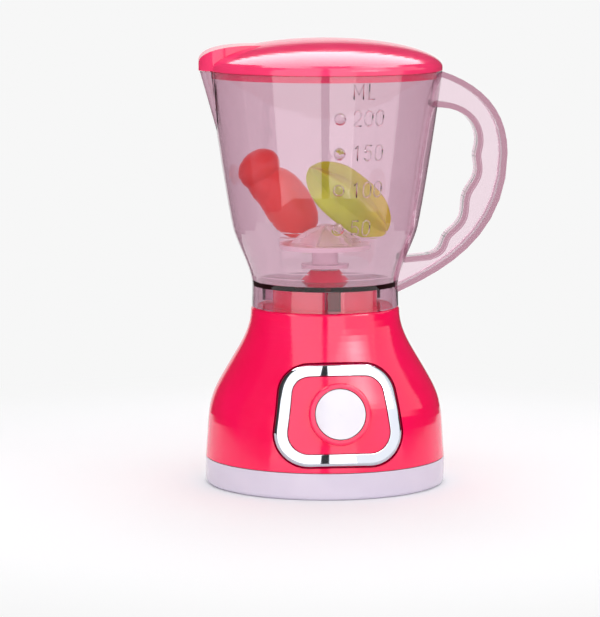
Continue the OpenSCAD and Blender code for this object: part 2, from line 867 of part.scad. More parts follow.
module motor_magnets() {
    inner = can_r - can_wall - 2.2;
    color("#3c3c40") translate([0, motor_y, 0]) difference() {
        motor_section(can_r - can_wall, can_flats - 2 * can_wall, can_low + 3, can_top - can_wall - 1.5);
        translate([0, 0, can_low]) cylinder(r = inner, h = can_len);
        translate([-inner * 0.55, -can_r, can_low]) cube([inner * 1.1, 2 * can_r, can_len]);
    }
}

module motor_shaft() {
    color(steel) translate([0, motor_y, cap_low - shaft_stub])
        cylinder(r = motor_shaft_r, h = gear_low + gear_w + 0.9 - cap_low + shaft_stub);
}

module motor_armature() {
    core_low = can_low + 4;
    core_len = can_len - 8;
    pole_r = can_flats / 2 - can_wall - 0.7;
    color("#b5651d") translate([0, motor_y, core_low]) difference() {
        cylinder(r = pole_r, h = core_len);
        translate([0, 0, -over]) cylinder(r = motor_shaft_r, h = core_len + 2 * over);
        for (i = [0:2]) rotate([0, 0, 120 * i]) translate([pole_r - 2.6, -0.7, -over])
            cube([4, 1.4, core_len + 2 * over]);
    }
}

// Spur gear outline with involute flanks. A tooth is centred on angle 0.
function involute_turn(base, r) = let (a = acos(min(1, base / r))) tan(a) * 180 / PI - a;
function gear_outline(teeth) =
    let (
        pitch_r = gear_module * teeth / 2,
        base = pitch_r * cos(pressure),
        half = 90 / teeth - tooth_play / 4 / pitch_r * 180 / PI + involute_turn(base, pitch_r),
        root = pitch_r - dedendum,
        tip = pitch_r + addendum,
        flank = [for (k = [0:4]) let (start = max(base, root)) start + (tip - start) * k / 4],
        up = concat([[root, half]], [for (r = flank) [r, half - involute_turn(base, r)]])
    )
    [
        for (i = [0:teeth - 1], p = concat(
            [for (q = up) polar(q[0], 360 * i / teeth - q[1])],
            [for (q = reversed(up)) polar(q[0], 360 * i / teeth + q[1])]
        )) p
    ];

module drive_gear() {
    color(nylon) difference() {
        union() {
            translate([0, 0, gear_low]) rotate([0, 0, 90])
                linear_extrude(gear_w) polygon(gear_outline(gear_teeth));
            translate([0, 0, gear_hub_low])
                cylinder(r = gear_hub_r, h = gear_hub_top - gear_hub_low);
        }
        translate([0, 0, gear_hub_low - over]) cylinder(r = shaft_r, h = gear_w + 10);
        for (i = [0:gear_holes - 1]) rotate([0, 0, 360 * i / gear_holes])
            translate([(gear_hub_r + gear_pitch_r - dedendum) / 2, 0, gear_low - over])
            cylinder(r = gear_hole_r, h = gear_w + 2 * over);
    }
}

module pinion() {
    pinion_w = gear_w + 0.6;
    color(brass) translate([0, motor_y, gear_low - 0.2]) difference() {
        rotate([0, 0, -90 + 180 / pinion_teeth])
            linear_extrude(pinion_w) polygon(gear_outline(pinion_teeth));
        translate([0, 0, -over]) cylinder(r = motor_shaft_r, h = pinion_w + 2 * over);
    }
}

module drive_spindle() {
    low = deck_low - deck_hub_len + 0.3;
    color(steel) translate([0, 0, low]) cylinder(r = shaft_r, h = drive_coupler_top - low);
}

// A dog coupler: a plate with jaws on one side
module coupler(plate_low, jaw_low, jaw_top, turn) {
    difference() {
        union() {
            translate([0, 0, plate_low]) cylinder(r = coupler_r, h = coupler_plate);
            for (i = [0:jaws - 1]) rotate([0, 0, turn + 360 * i / jaws - jaw_angle / 2])
                translate([0, 0, jaw_low]) rotate_extrude(angle = jaw_angle)
                translate([jaw_in_r, 0]) square([coupler_r - jaw_edge - jaw_in_r, jaw_top - jaw_low]);
        }
        translate([0, 0, plate_low - over]) cylinder(r = shaft_r, h = coupler_plate + 2 * over);
    }
}

module drive_coupler() {
    color(nylon) coupler(drive_coupler_low, drive_coupler_low + over, rotor_coupler_low - tooth_clear, 0);
}

module rotor_coupler() {
    color(nylon) coupler(
        rotor_coupler_low, drive_coupler_top + tooth_clear, rotor_coupler_top - over, 180 / jaws
    );
}

module rotor_shaft() {
    color(steel) translate([0, 0, rotor_coupler_low])
        cylinder(r = shaft_r, h = rotor_shaft_top - rotor_coupler_low);
}

module cone_pegs(low, top) {
    for (i = [0:pegs - 1]) rotate([0, 0, 30 + 360 * i / pegs]) translate([peg_at, 0, low])
        cylinder(r = peg_r, h = top - low);
}

module bearing_cone() {
    color(pink) {
        difference() {
            translate([0, 0, floor_z]) cylinder(r1 = cone_r, r2 = cone_top_r, h = cone_h);
            translate([0, 0, floor_z - over]) cylinder(r = shaft_r + running_gap, h = cone_h + 2 * over);
        }
        cone_pegs(floor_under, floor_z + over);
    }
}

module rotor_washer() {
    color(pearl) translate([0, 0, washer_low]) difference() {
        cylinder(r = washer_r, h = washer_t);
        translate([0, 0, -over]) cylinder(r = shaft_r, h = washer_t + 2 * over);
    }
}

// Half of the stirrer's dome, as points from its top down to its edge
function dome(width, height, n = 12) = [
    for (i = [0:n]) let (out = sin(90 * i / n)) [width * out, height * (1 - pow(out, dome_bluntness))]
];

module rotor() {
    color(pearl) difference() {
        union() {
            translate([0, 0, plate_low]) cylinder(r = flange_r, h = rotor_plate);
            translate([0, 0, washer_low + washer_t]) cylinder(r = hub_r, h = plate_low - washer_low);
            translate([0, 0, plate_top - 0.5]) rotate_extrude()
                polygon(concat([[0, 0]], dome(dome_core[0], dome_core[1] + 0.5)));
            for (i = [0:fins - 1]) rotate([0, 0, 360 * i / fins + 5]) translate([0, 0, plate_top - 0.5])
                rotate([90, 0, 0]) linear_extrude(fin_t, center = true)
                polygon(concat([[0, 0]], dome(fin_r, fin_h + 0.5)));
        }
        translate([0, 0, washer_low]) cylinder(r = shaft_r, h = rotor_shaft_top - washer_low);
    }
}

module jug_cavity() {
    inside = [for (p = jug_inside) if (p[1] > floor_z + 0.6 && p[1] < rim_z - 0.3) p];
    rim_in = rim_r - jug_wall;
    turned(
        concat(
            [[radius_at(jug_inside, floor_z), floor_z]], inside, [[rim_in, rim_z], [rim_in, rim_z + over]]
        ),
        floor_z, rim_z + over
    );
}

module spout_cone(inset) {
    reach = 1.15;
    translate([-spout_foot_x, 0, spout_foot_z]) rotate([0, -spout_lean, 0]) cylinder(
        r1 = spout_foot_r - inset,
        r2 = spout_foot_r + (spout_r - spout_foot_r) * reach - inset,
        h = spout_len * reach
    );
}

module handle() {
    rotate([90, 0, 0]) {
        linear_extrude(web_t, center = true) polygon(concat(handle_edge, reversed(grip_edge)));
        linear_extrude(flange_w, center = true)
            polygon(concat(handle_edge, reversed(beside(handle_edge, flange_t))));
        linear_extrude(flange_w, center = true)
            polygon(concat(grip_edge, reversed(beside(grip_edge, -flange_t))));
    }
}

module scale_dots() {
    ball = (dot_r * dot_r + dot_proud * dot_proud) / (2 * dot_proud);
    for (i = [0:3]) {
        z = floor_z + dot_first + dot_step * i - dot_closing * i * (i - 1) / 2;
        translate([0, -radius_at(jug_side, z) + ball - dot_proud, z]) rotate([90, 0, 0]) sphere(ball);
    }
}

module jug() {
    neck_in = neck_r - jug_wall;
    color(smoke, 0.55) {
        difference() {
            union() {
                turned(jug_side, neck_low, rim_z);
                spout_cone(0);
                handle();
                scale_dots();
            }
            jug_cavity();
            spout_cone(jug_wall);
            translate([0, 0, neck_low - over]) difference() {
                cylinder(r = neck_in, h = floor_under - neck_low + over);
                key_slots(key_w, boss_r - key_depth + key_gap, neck_in + over, over + 0.5, floor_h);
            }
            translate([0, 0, floor_under - over]) cylinder(r = floor_hole_r, h = floor_t + 2 * over);
            cone_pegs(floor_under - over, floor_z + over);
            translate([0, 0, rim_z]) cylinder(r = handle_reach, h = dome_h);
        }
    }
}

// The tongue over the spout, shrunk by a skin
module tongue_form(skin) {
    side = [for (p = beside(tongue_side, -skin)) [p[0], max(p[1], lid_low)]];
    intersection() {
        translate([-15, 0, 0]) rotate([90, 0, 0]) linear_extrude(tongue_w, center = true) mirror([1, 0])
            polygon(concat([for (p = side) p - [15, 0]], [
                [tongue_root - 15, rim_z + tongue_h - skin], [tongue_root - 15, lid_low]
            ]));
        translate([0, 0, lid_low - over]) union() {
            translate([tongue_w / 2 - tongue_reach, 0, 0]) cylinder(r = tongue_w / 2 - skin, h = 2 * dome_h);
            translate([tongue_w / 2 - tongue_reach, skin - tongue_w / 2, 0])
                cube([tongue_reach - tongue_w / 2 - 10, tongue_w - 2 * skin, 2 * dome_h]);
        }
    }
}

module lid() {
    inner_side = beside(dome_side, -lid_wall);
    inner_top = rim_z + dome_h - lid_wall;
    color(lid_pink) difference() {
        union() {
            turned(dome_side, lid_low, rim_z + dome_h);
            tongue_form(0);
            translate([0, 0, rim_z - plug_drop]) cylinder(r = plug_r, h = plug_drop + lid_edge);
        }
        turned(
            concat([[plug_r - plug_wall, rim_z - plug_drop - over]],
                [for (p = inner_side) if (p[0] < plug_r - plug_wall && p[0] > 1) p]),
            rim_z - plug_drop - over, inner_top
        );
        tongue_form(lid_wall);
    }
}

// Sweeps a closed ring along a path. Each ring stands square to the path.
module tube(path, r, sides, ref) {
    n = len(path);
    rings = [
        for (i = [0:n - 1])
            let (
                along = unit(path[min(i + 1, n - 1)] - path[max(i - 1, 0)]),
                across = unit(cross(ref, along)),
                up = cross(along, across)
            )
            for (k = [0:sides - 1]) path[i] + r * (cos(360 * k / sides) * across + sin(360 * k / sides) * up)
    ];
    skin = [
        for (i = [0:n - 2], k = [0:sides - 1])
            let (a = i * sides + k, b = i * sides + (k + 1) % sides)
            each [[a, b, b + sides], [a, b + sides, a + sides]]
    ];
    ends = [
        for (k = [1:sides - 2])
            each [[0, k + 1, k], [(n - 1) * sides, (n - 1) * sides + k, (n - 1) * sides + k + 1]]
    ];
    polyhedron(points = rings, faces = [for (f = concat(skin, ends)) [f[0], f[2], f[1]]]);
}

// Points of a helix that starts on +X and climbs along +Z
function helix(r, turns, height, per_turn = 8) = [
    for (i = [0:turns * per_turn])
        let (a = 360 * i / per_turn)
        [r * cos(a), r * sin(a), height * i / (turns * per_turn)]
];

// A smooth curve through hand-set points, with straight ends
function smooth(points, n = 4) = [
    for (i = [0:len(points) - 2], k = [0:n - 1])
        let (
            a = points[max(i - 1, 0)],
            b = points[i],
            c = points[i + 1],
            d = points[min(i + 2, len(points) - 1)],
            t = k / n
        )
        b + t * ((c - a) / 2 + t * (a - 2.5 * b + 2 * c - d / 2 + t * (1.5 * (b - c) + (d - a) / 2)))
];

module button() {
    lip_top = guide_end - 0.4;
    lip_low = lip_top - button_lip_h;
    crown_r = (button_r * button_r + button_crown * button_crown) / (2 * button_crown);
    color(pearl) at_panel() difference() {
        union() {
            intersection() {
                translate([0, 0, lip_low]) cylinder(r = button_r, h = button_edge + button_crown - lip_low);
                translate([0, 0, button_edge + button_crown - crown_r]) sphere(crown_r);
            }
            translate([0, 0, lip_low]) cylinder(r = button_r + button_gap + button_lip, h = button_lip_h);
        }
        difference() {
            translate([0, 0, lip_low - over])
                cylinder(r = button_r - button_wall, h = button_edge - button_skin - lip_low + over);
            translate([0, 0, stem_end]) cylinder(r = stem_r, h = button_edge - stem_end);
        }
    }
    color(pearl) at_panel() translate([0, 0, stem_end])
        cylinder(r = stem_r, h = button_edge - button_skin / 2 - stem_end);
}

module switch_plunger() {
    color("#303034") at_panel() translate([0, 0, stem_end - 6]) cylinder(r = plunger_r, h = 6);
}

module push_switch() {
    color("#3a3a3f") at_panel() difference() {
        centred_box([switch_side, switch_side], board_front, switch_front);
        translate([0, 0, board_front + 0.6]) cylinder(r = plunger_r + running_gap, h = switch_h);
    }
}

// Least clear gap between turns of a wire, measured between points half a turn or more apart
function least_gap(path, wire, per_turn = 8) = min([
    for (i = [0:len(path) - 1])
        for (j = [i + per_turn / 2:1:len(path) - 1])
            norm(path[i] - path[j]) - 2 * wire
]);

module button_spring() {
    wire = 0.3;
    seat = 0.05;
    low = switch_front + wire + seat;
    top = button_edge - button_skin - wire - seat;
    coil = helix(spring_r, spring_turns, top - low);
    echo(button_spring_gap = least_gap(coil, wire));
    color(steel) at_panel() translate([0, 0, low]) tube(coil, wire, 6, [0, 0, 1]);
}

module switch_board() {
    color("#b98a4a") at_panel() difference() {
        centred_box(board_size, board_front - board_t, board_front);
        board_screw_holes(board_front - board_t, board_t + over);
    }
}

// A cell that lies along X with its nub towards +X for side 1, or -X for side -1
module cell(y, side) {
    translate([0, y, cell_z]) rotate([0, side * 90, 0]) translate([0, 0, cell_end - cell_len]) {
        cylinder(r = cell_r, h = cell_len);
        cylinder(r = nub_r, h = cell_len + nub_h);
    }
}

module cell_front() {
    color("#d8a02a") cell(-cell_y, 1);
}

module cell_rear() {
    color("#d8a02a") cell(cell_y, -1);
}

// A sheet contact against the bay's end wall, with a tag through the roof
module contact_plate(y) {
    translate([contact_x, y - 5.5, cell_z - 5.5]) cube([plate_t, 11, 11]);
    translate([contact_x, y - 1.5, cell_z]) cube([plate_t, 3, bay_top + bay_wall + 1.6 - cell_z]);
}

module contact_positive() {
    color(plated) contact_plate(-cell_y);
}

module contact_negative() {
    color(plated) contact_plate(cell_y);
}

module bridge_contact() {
    color(plated) translate([-contact_x - plate_t, -cell_y - 5.5, cell_z - 5.5])
        cube([plate_t, 2 * cell_y + 11, 11]);
}

module contact_springs() {
    gap = 0.05;
    room = contact_x - (cell_len - cell_end);
    coil = helix(contact_spring_r, contact_turns, room - 2 * (gap + spring_wire_r));
    echo(contact_spring_gap = least_gap(coil, spring_wire_r));
    color(steel) for (side = [[-1, -cell_y], [1, cell_y]]) {
        translate([side[0] * (contact_x - gap - spring_wire_r), side[1], cell_z])
            rotate([0, -side[0] * 90, 0])
            tube(coil, spring_wire_r, 6, [0, 0, 1]);
    }
}

module lead(points) {
    tube(concat(smooth(points), [points[len(points) - 1]]), lead_r, 8, [0.1, 0.2, 1]);
}

module red_lead() {
    color("#c8202a") lead([
        [26.2, -7.6, lead_z - 0.6], [24.4, -10.5, 23.5], [20, -14, 26], [14.5, -14.6, 26.8],
        [8.6, -15.6, 26.6], [7, -19.2, 27.2]
    ]);
}

module black_lead() {
    color("#1c1c20") lead([
        [26.2, 7.6, lead_z - 0.6], [24, 10, 23.2], [20, 12.6, 23.8], [16, 13.8, 23.4], [12.6, 14, 22.6]
    ]);
}

module motor_lead() {
    color("#c8202a") lead([
        [-12.6, 14, 22.6], [-16, 13.4, 23.4], [-20, 8, 24.6], [-21, 0, 25.4], [-18.5, -9.5, 26.2],
        [-14, -14.4, 26.8], [-8.6, -15.6, 26.6], [-7, -19.2, 27.2]
    ]);
}

// A closed form round the origin. reach gives how far it goes in a direction.
module round_form(reach, rings, sides) {
    directions = concat(
        [[0, 0, 1]],
        [
            for (i = [1:rings - 1], k = [0:sides - 1])
                let (down = 180 * i / rings, a = 360 * k / sides)
                [sin(down) * cos(a), sin(down) * sin(a), cos(down)]
        ],
        [[0, 0, -1]]
    );
    last = 1 + (rings - 2) * sides;
    faces = concat(
        [for (k = [0:sides - 1]) [0, 1 + k, 1 + (k + 1) % sides]],
        [
            for (i = [0:rings - 3], k = [0:sides - 1])
                let (a = 1 + i * sides + k, b = 1 + i * sides + (k + 1) % sides)
                each [[a, a + sides, b + sides], [a, b + sides, b]]
        ],
        [for (k = [0:sides - 1]) [last + sides, last + (k + 1) % sides, last + k]]
    );
    polyhedron(points = [for (d = directions) reach(d) * d], faces = [for (f = faces) [f[0], f[2], f[1]]]);
}

// How far an ellipsoid that holds the origin reaches in a direction
function over_each(a, b) = [a[0] / b[0], a[1] / b[1], a[2] / b[2]];
function ellipsoid_reach(way, centre, half) =
    let (d = over_each(way, half), c = over_each(centre, half), dd = d * d, dc = d * c)
    (dc + sqrt(max(0, dc * dc - dd * (c * c - 1)))) / dd;
// Joins reaches with a soft valley between them
function soft_most(reaches, softness = 20) =
    pow([for (r = reaches) pow(r, softness)] * [for (r = reaches) 1], 1 / softness);

// Turns a form so that its long axis leans to the spout's side in the camera's plane
module leaning(place, lean, roll) {
    translate(place) rotate([0, 0, fruit_turn]) rotate([0, -lean, 0]) rotate([0, 0, roll]) children();
}

module red_fruit() {
    half_w = pepper_w / 2;
    lobes = [
        [[-0.8, 0, 5.2], [half_w - 0.6, half_w - 1.6, 6.3]],
        [[-2.2, 0.4, -1.5], [half_w - 2.4, half_w - 2.2, 9]],
        [[-0.2, 0.3, 3.2 - pepper_len / 2], [half_w - 0.3, half_w - 1.5, pepper_len / 2]],
        [[1.6, -0.5, -6.5], [half_w - 2.1, half_w - 2.2, 9]],
        [[1.8, 0.6, -10.4], [half_w - 2.2, half_w - 2.8, 13.4]],
        [[-2.4, 0.8, -13.2], [half_w - 2.4, half_w - 2.6, 10]]
    ];
    color("#e8241c") leaning(pepper_at, pepper_lean, 0)
        round_form(function (d) soft_most([for (l = lobes) ellipsoid_reach(d, l[0], l[1])]), 24, 28);
}

// The star fruit's section has ridges that fade out at both ends
function star_reach(d) =
    let (
        flat = norm([d[0], d[1]]),
        bluntness = 2.5,
        ridge = pow(abs(sin(star_ridges / 2 * atan2(d[1], d[0]))), 0.85),
        over_width = pow(2 * flat / star_w, bluntness),
        over_length = pow(2 * abs(d[2]) / star_len, bluntness),
        body = pow(over_width + over_length, -1 / bluntness)
    )
    body * (1 - star_depth * ridge * min(1, 2.2 * flat));

module star_fruit() {
    color("#b4b826") leaning(star_at, star_lean, star_roll)
        round_form(function (d) star_reach(d), 18, 6 * star_ridges);
}

housing();
bottom_cover();
panel_ring();
gear_deck();
spindle_bush();
deck_screws();
cover_screws();
motor_can();
motor_end_cap();
motor_magnets();
motor_terminals();
motor_shaft();
motor_armature();
pinion();
drive_gear();
drive_spindle();
drive_coupler();
button();
switch_plunger();
button_spring();
push_switch();
switch_board();
board_screws();
cell_front();
cell_rear();
contact_positive();
contact_negative();
bridge_contact();
contact_springs();
red_lead();
black_lead();
motor_lead();
battery_door();
door_screw();
jug();
bearing_cone();
rotor();
rotor_washer();
rotor_shaft();
rotor_coupler();
lid();
red_fruit();
star_fruit();
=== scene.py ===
import math

import bpy
from mathutils import Matrix, Vector
from mathutils.bvhtree import BVHTree


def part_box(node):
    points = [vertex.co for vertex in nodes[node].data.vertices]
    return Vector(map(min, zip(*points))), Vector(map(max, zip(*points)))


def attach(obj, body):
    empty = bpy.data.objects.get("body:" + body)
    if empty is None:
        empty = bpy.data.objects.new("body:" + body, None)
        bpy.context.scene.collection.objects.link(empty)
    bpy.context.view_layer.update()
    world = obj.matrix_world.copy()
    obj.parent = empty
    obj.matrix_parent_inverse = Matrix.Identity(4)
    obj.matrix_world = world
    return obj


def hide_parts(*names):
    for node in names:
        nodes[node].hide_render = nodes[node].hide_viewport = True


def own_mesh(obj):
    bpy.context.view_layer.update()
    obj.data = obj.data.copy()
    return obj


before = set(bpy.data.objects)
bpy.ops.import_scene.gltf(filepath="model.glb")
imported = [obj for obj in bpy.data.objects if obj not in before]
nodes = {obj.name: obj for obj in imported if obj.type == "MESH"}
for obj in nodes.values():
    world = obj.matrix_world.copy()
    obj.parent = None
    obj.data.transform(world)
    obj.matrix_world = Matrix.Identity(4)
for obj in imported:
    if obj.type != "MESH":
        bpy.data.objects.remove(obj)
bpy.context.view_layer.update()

scene = bpy.context.scene
scene.view_settings.view_transform = "Standard"

# Camera. It looks slightly down on the toy, from 1.2 m away and a little to the left
# of the button. The toy stands right of and above the middle of the picture.
picture_px = (600, 617)
aim_px = (325, 275.5)
focal_px = 3408
sensor_mm = 36
camera_turn = math.radians(-7.5)
camera_rise = math.radians(6.6)
camera_distance = 1.2
aim = Vector((0, 0, 0.0729))


def way_out_at(turn, rise=0):
    """The way outwards, turned to the right of straight ahead and risen above the level."""
    return Vector((math.sin(turn) * math.cos(rise), -math.cos(turn) * math.cos(rise), math.sin(rise)))


to_camera = way_out_at(camera_turn, camera_rise)
camera_right = Vector((math.cos(camera_turn), math.sin(camera_turn), 0))
camera_top = to_camera.cross(camera_right)
right_of_middle = aim_px[0] - picture_px[0] / 2
above_middle = picture_px[1] / 2 - aim_px[1]
look = -to_camera * focal_px - camera_right * right_of_middle - camera_top * above_middle

camera_data = bpy.data.cameras.new("camera")
camera_data.sensor_width = sensor_mm
camera_data.lens = focal_px * sensor_mm / max(picture_px)
camera = bpy.data.objects.new("camera", camera_data)
camera.location = aim + camera_distance * to_camera
camera.rotation_euler = look.to_track_quat("-Z", "Y").to_euler()
scene.collection.objects.link(camera)
scene.camera = camera


# Base housing. One shell of hot pink ABS, injection moulded in a polished tool, so it is
# glossy with a faint ripple where the plastic flowed. Screws from below hold its cover.
MM = 0.001
housing_colour = "#FF0C58"
housing_depth = "#FB0650"
swirl_mm = 17
handling_mm = 6

# Most of a noise pattern lies between these two values.
noise_low = 0.3
noise_high = 0.7

# A colour mix node has its share, its two colours and its result at these places.
mix_share = 0
mix_first = 6
mix_second = 7
mix_colour = 2


def linear(hex_colour):
    """Turns an sRGB hex colour into the linear colour that a shader takes."""
    parts = [int(hex_colour[i:i + 2], 16) / 255 for i in (1, 3, 5)]
    return [c / 12.92 if c <= 0.04045 else ((c + 0.055) / 1.055) ** 2.4 for c in parts] + [1]


def add_node(material, kind, inputs, **settings):
    """Adds a node. An input, by name or number, takes a value or the socket that feeds it."""
    node = material.node_tree.nodes.new(kind)
    for name, value in settings.items():
        setattr(node, name, value)
    for name, value in inputs.items():
        if isinstance(value, bpy.types.NodeSocket):
            material.node_tree.links.new(value, node.inputs[name])
        else:
            node.inputs[name].default_value = value
    return node


def start_material(name, ior, metallic=0.0):
    """A new material, its main shader and the place of a point in the part's own frame."""
    material = bpy.data.materials.new(name)
    material.use_nodes = True
    shader = material.node_tree.nodes["Principled BSDF"]
    shader.inputs["Metallic"].default_value = metallic
    if not metallic:
        shader.inputs["IOR"].default_value = ior
    place = add_node(material, "ShaderNodeTexCoord", {}).outputs["Object"]
    return material, shader, place


def mottle(material, place, size_mm, detail=2.0):
    """Soft blotches of about that size, from 0 to 1."""
    pattern = {"Vector": place, "Scale": 1 / (size_mm * MM), "Detail": detail}
    return add_node(material, "ShaderNodeTexNoise", pattern).outputs["Fac"]


def spread(material, share, low, high):
    """Turns a pattern's middle range into values from low to high."""
    reach = {
        "Value": share, "From Min": noise_low, "From Max": noise_high, "To Min": low, "To Max": high,
    }
    return add_node(material, "ShaderNodeMapRange", reach).outputs["Result"]


def two_tones(material, share, first, second):
    """Goes from the first colour to the second with the share. A colour is hex or a socket."""
    first, second = [linear(tone) if isinstance(tone, str) else tone for tone in (first, second)]
    tones = {mix_share: share, mix_first: first, mix_second: second}
    return add_node(material, "ShaderNodeMix", tones, data_type="RGBA").outputs[mix_colour]


def relief(material, shader, height, depth_mm, under=None):
    """Raises the surface by a pattern, over another relief if one is given."""
    shape = {"Height": height, "Distance": depth_mm * MM, "Strength": 1.0}
    if under is not None:
        shape["Normal"] = under
    normal = add_node(material, "ShaderNodeBump", shape).outputs["Normal"]
    material.node_tree.links.new(normal, shader.inputs["Normal"])
    return normal


def feed(material, shader, name, socket):
    """Lets a pattern drive one of the shader's inputs."""
    material.node_tree.links.new(socket, shader.inputs[name])


def moulded_plastic(name, colour, depth, gloss=(0.09, 0.15), ripple=(11, 0.02), grain=None, ior=1.53):
    """Injection-moulded plastic. The pigment swirls faintly, the skin ripples where the plastic
    flowed and handling leaves it a little duller in places. Grain is a spark-eroded tool's finish.
    Ripple and grain each give their size and their depth, in millimetres."""
    material, shader, place = start_material(name, ior)
    swirl = spread(material, mottle(material, place, swirl_mm), 0, 1)
    feed(material, shader, "Base Color", two_tones(material, swirl, colour, depth))
    dullness = spread(material, mottle(material, place, handling_mm, 4), *gloss)
    feed(material, shader, "Roughness", dullness)
    flow = relief(material, shader, mottle(material, place, ripple[0], 1), ripple[1])
    if grain:
        relief(material, shader, mottle(material, place, grain[0], 3), grain[1], flow)
    return material


def dress(material, *names):
    """Gives CAD nodes their finish."""
    for name in names:
        nodes[name].data.materials.clear()
        nodes[name].data.materials.append(material)


pink_abs = moulded_plastic("hot_pink_moulded_ABS", housing_colour, housing_depth)
dress(pink_abs, "housing")


# Bottom cover and battery door. The same ABS in a white with a breath of lavender, the
# visible side polished. The cover takes four screws, and the door one that stays in it.
cover_colour = "#DCD2E2"
cover_depth = "#D4CADC"

pearl_abs = moulded_plastic("pearl_white_moulded_ABS", cover_colour, cover_depth, gloss=(0.14, 0.2))
dress(pearl_abs, "bottom_cover", "battery_door")


# Panel ring. An ABS moulding plated with bright chrome, pressed into its groove.
# It is a rounded square, narrower at the top, and its outer edge slopes down to the housing.
ring_silver = "#C8CBD3"
ring_shadow = "#BDC1CB"
ring_width_top = 41.2 * MM
ring_corner_low = 12.2 * MM
ring_corner_top = 11 * MM
ring_band = 4.6 * MM
ring_slope = 1 * MM
ring_step = 0.7 * MM
shortest_side = 0.01 * MM
corner_steps = 12
ring_crease = math.radians(40)
probe_from = 100 * MM
probe_margin = 0.15 * MM
panel_lean = math.radians(12)
button_way = Vector((0, -math.cos(panel_lean), math.sin(panel_lean)))
panel_up = Vector((0, math.sin(panel_lean), math.cos(panel_lean)))


def bright_metal(name, colour, depth, gloss, ripple, ripple_mm=5):
    """Metal with a smooth skin. Slow blotches of tarnish change its colour and its gloss."""
    material, shader, place = start_material(name, ior=None, metallic=1.0)
    tarnish = mottle(material, place, ripple_mm, 3)
    feed(material, shader, "Base Color", two_tones(material, tarnish, colour, depth))
    feed(material, shader, "Roughness", spread(material, tarnish, *gloss))
    relief(material, shader, mottle(material, place, ripple_mm, 1), ripple)
    return material


def mesh_piece(name, points, faces, material):
    """A smooth piece from points and faces, in the part's frame."""
    mesh = bpy.data.meshes.new(name)
    mesh.from_pydata([tuple(p) for p in points], [], faces)
    mesh.validate()
    mesh.polygons.foreach_set("use_smooth", [True] * len(mesh.polygons))
    mesh.materials.append(material)
    piece = bpy.data.objects.new(name, mesh)
    scene.collection.objects.link(piece)
    return piece


def band_faces(rings, around, closed=False):
    """Faces from each ring of points to the next, and from the last to the first if closed."""
    faces = []
    for ring in range(rings if closed else rings - 1):
        start = ring * around
        step = (ring + 1) % rings * around - start
        for k in range(around):
            here = start + k
            beside = start + (k + 1) % around
            faces.append((here, beside, beside + step, here + step))
    return faces


def node_surface(node):
    """A CAD node's surface, for rays that look for it."""
    return BVHTree.FromObject(nodes[node], bpy.context.evaluated_depsgraph_get())


def span_along(node, way):
    """How far a CAD node reaches along a direction: its least and its greatest."""
    reaches = [v.co.dot(way) for v in nodes[node].data.vertices]
    return min(reaches), max(reaches)


ring_low, ring_top = span_along("panel_ring", panel_up)
ring_middle = (ring_low + ring_top) / 2
ring_half_height = (ring_top - ring_low) / 2
ring_half_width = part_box("panel_ring")[1].x


def ring_corners(inset):
    """The ring's rounded outline in the panel's plane, a margin inside its outer edge."""
    low = Vector((ring_half_width - ring_corner_low, ring_corner_low - ring_half_height))
    top = Vector((ring_width_top / 2 - ring_corner_top, ring_half_height - ring_corner_top))
    rise = top - low
    side = math.atan2(rise.y, rise.x) - math.acos((ring_corner_low - ring_corner_top) / rise.length)
    right = []
    for middle, radius, start, end in (
        (low, ring_corner_low - inset, -math.pi / 2, side),
        (top, ring_corner_top - inset, side, math.pi / 2),
    ):
        for k in range(corner_steps + 1):
            turn = start + (end - start) * k / corner_steps
            right.append(middle + radius * Vector((math.cos(turn), math.sin(turn))))
    return right + [Vector((-point.x, point.y)) for point in reversed(right)]


def ring_line(inset):
    """That outline with points close enough together to follow the housing's curve. A line at any
    inset has as many points as the outer one, and at least one for each side."""
    outer = ring_corners(0)
    line = ring_corners(inset)
    path = []
    for i, start in enumerate(line):
        after = (i + 1) % len(line)
        count = math.ceil(((outer[after] - outer[i]).length + shortest_side) / ring_step)
        path += [start.lerp(line[after], k / count) for k in range(count)]
    return path


def ring_form(profile):
    """Points and faces of the ring. The profile goes across the band: margin, depth under the face.
    The face is probed a little inside the band's edges, where the CAD ring still has one."""
    face = node_surface("panel_ring")
    points = []
    for inset, depth in profile:
        probe_inset = min(max(inset, probe_margin), ring_band - probe_margin)
        for flat, probe in zip(ring_line(inset), ring_line(probe_inset)):
            level = panel_up * (ring_middle + probe.y) + Vector((probe.x, 0, 0))
            hit = face.ray_cast(level + button_way * probe_from, -button_way)[0]
            reach = hit.dot(button_way) - depth
            place = panel_up * (ring_middle + flat.y) + Vector((flat.x, 0, 0))
            points.append(place + button_way * reach)
    return points, band_faces(len(profile), len(points) // len(profile), closed=True)


plated_abs = bright_metal("chrome_plated_ABS", ring_silver, ring_shadow, (0.03, 0.07), 0.006)
ring_profile = [
    (0, 1.5 * MM), (0, 1.1 * MM), (ring_slope - 0.15 * MM, 0.14 * MM), (ring_slope, 0.04 * MM),
    (ring_slope + 0.2 * MM, 0), (ring_band / 2, 0.12 * MM), (ring_band - 0.3 * MM, 0.3 * MM),
    (ring_band - 0.1 * MM, 0.37 * MM), (ring_band, 0.5 * MM), (ring_band, 1.5 * MM),
]
bright_ring = mesh_piece("bright_panel_ring", *ring_form(ring_profile), plated_abs)
bright_ring.data.set_sharp_from_angle(angle=ring_crease)
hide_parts("panel_ring")
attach(bright_ring, "base")


# Push button with the switch under it. The button is white ABS with a crowned face, the
# switch a black nylon box on a brown paper-phenolic board, which two screws hold.
button_colour = "#ECE8F1"
button_depth = "#E6E1EC"
board_colour = "#A8763C"
board_fibre = "#8E5F2C"
fibre_mm = 3
fibre_squeeze = (1, 5, 5)
black_colour = "#232326"
black_depth = "#1B1B1E"

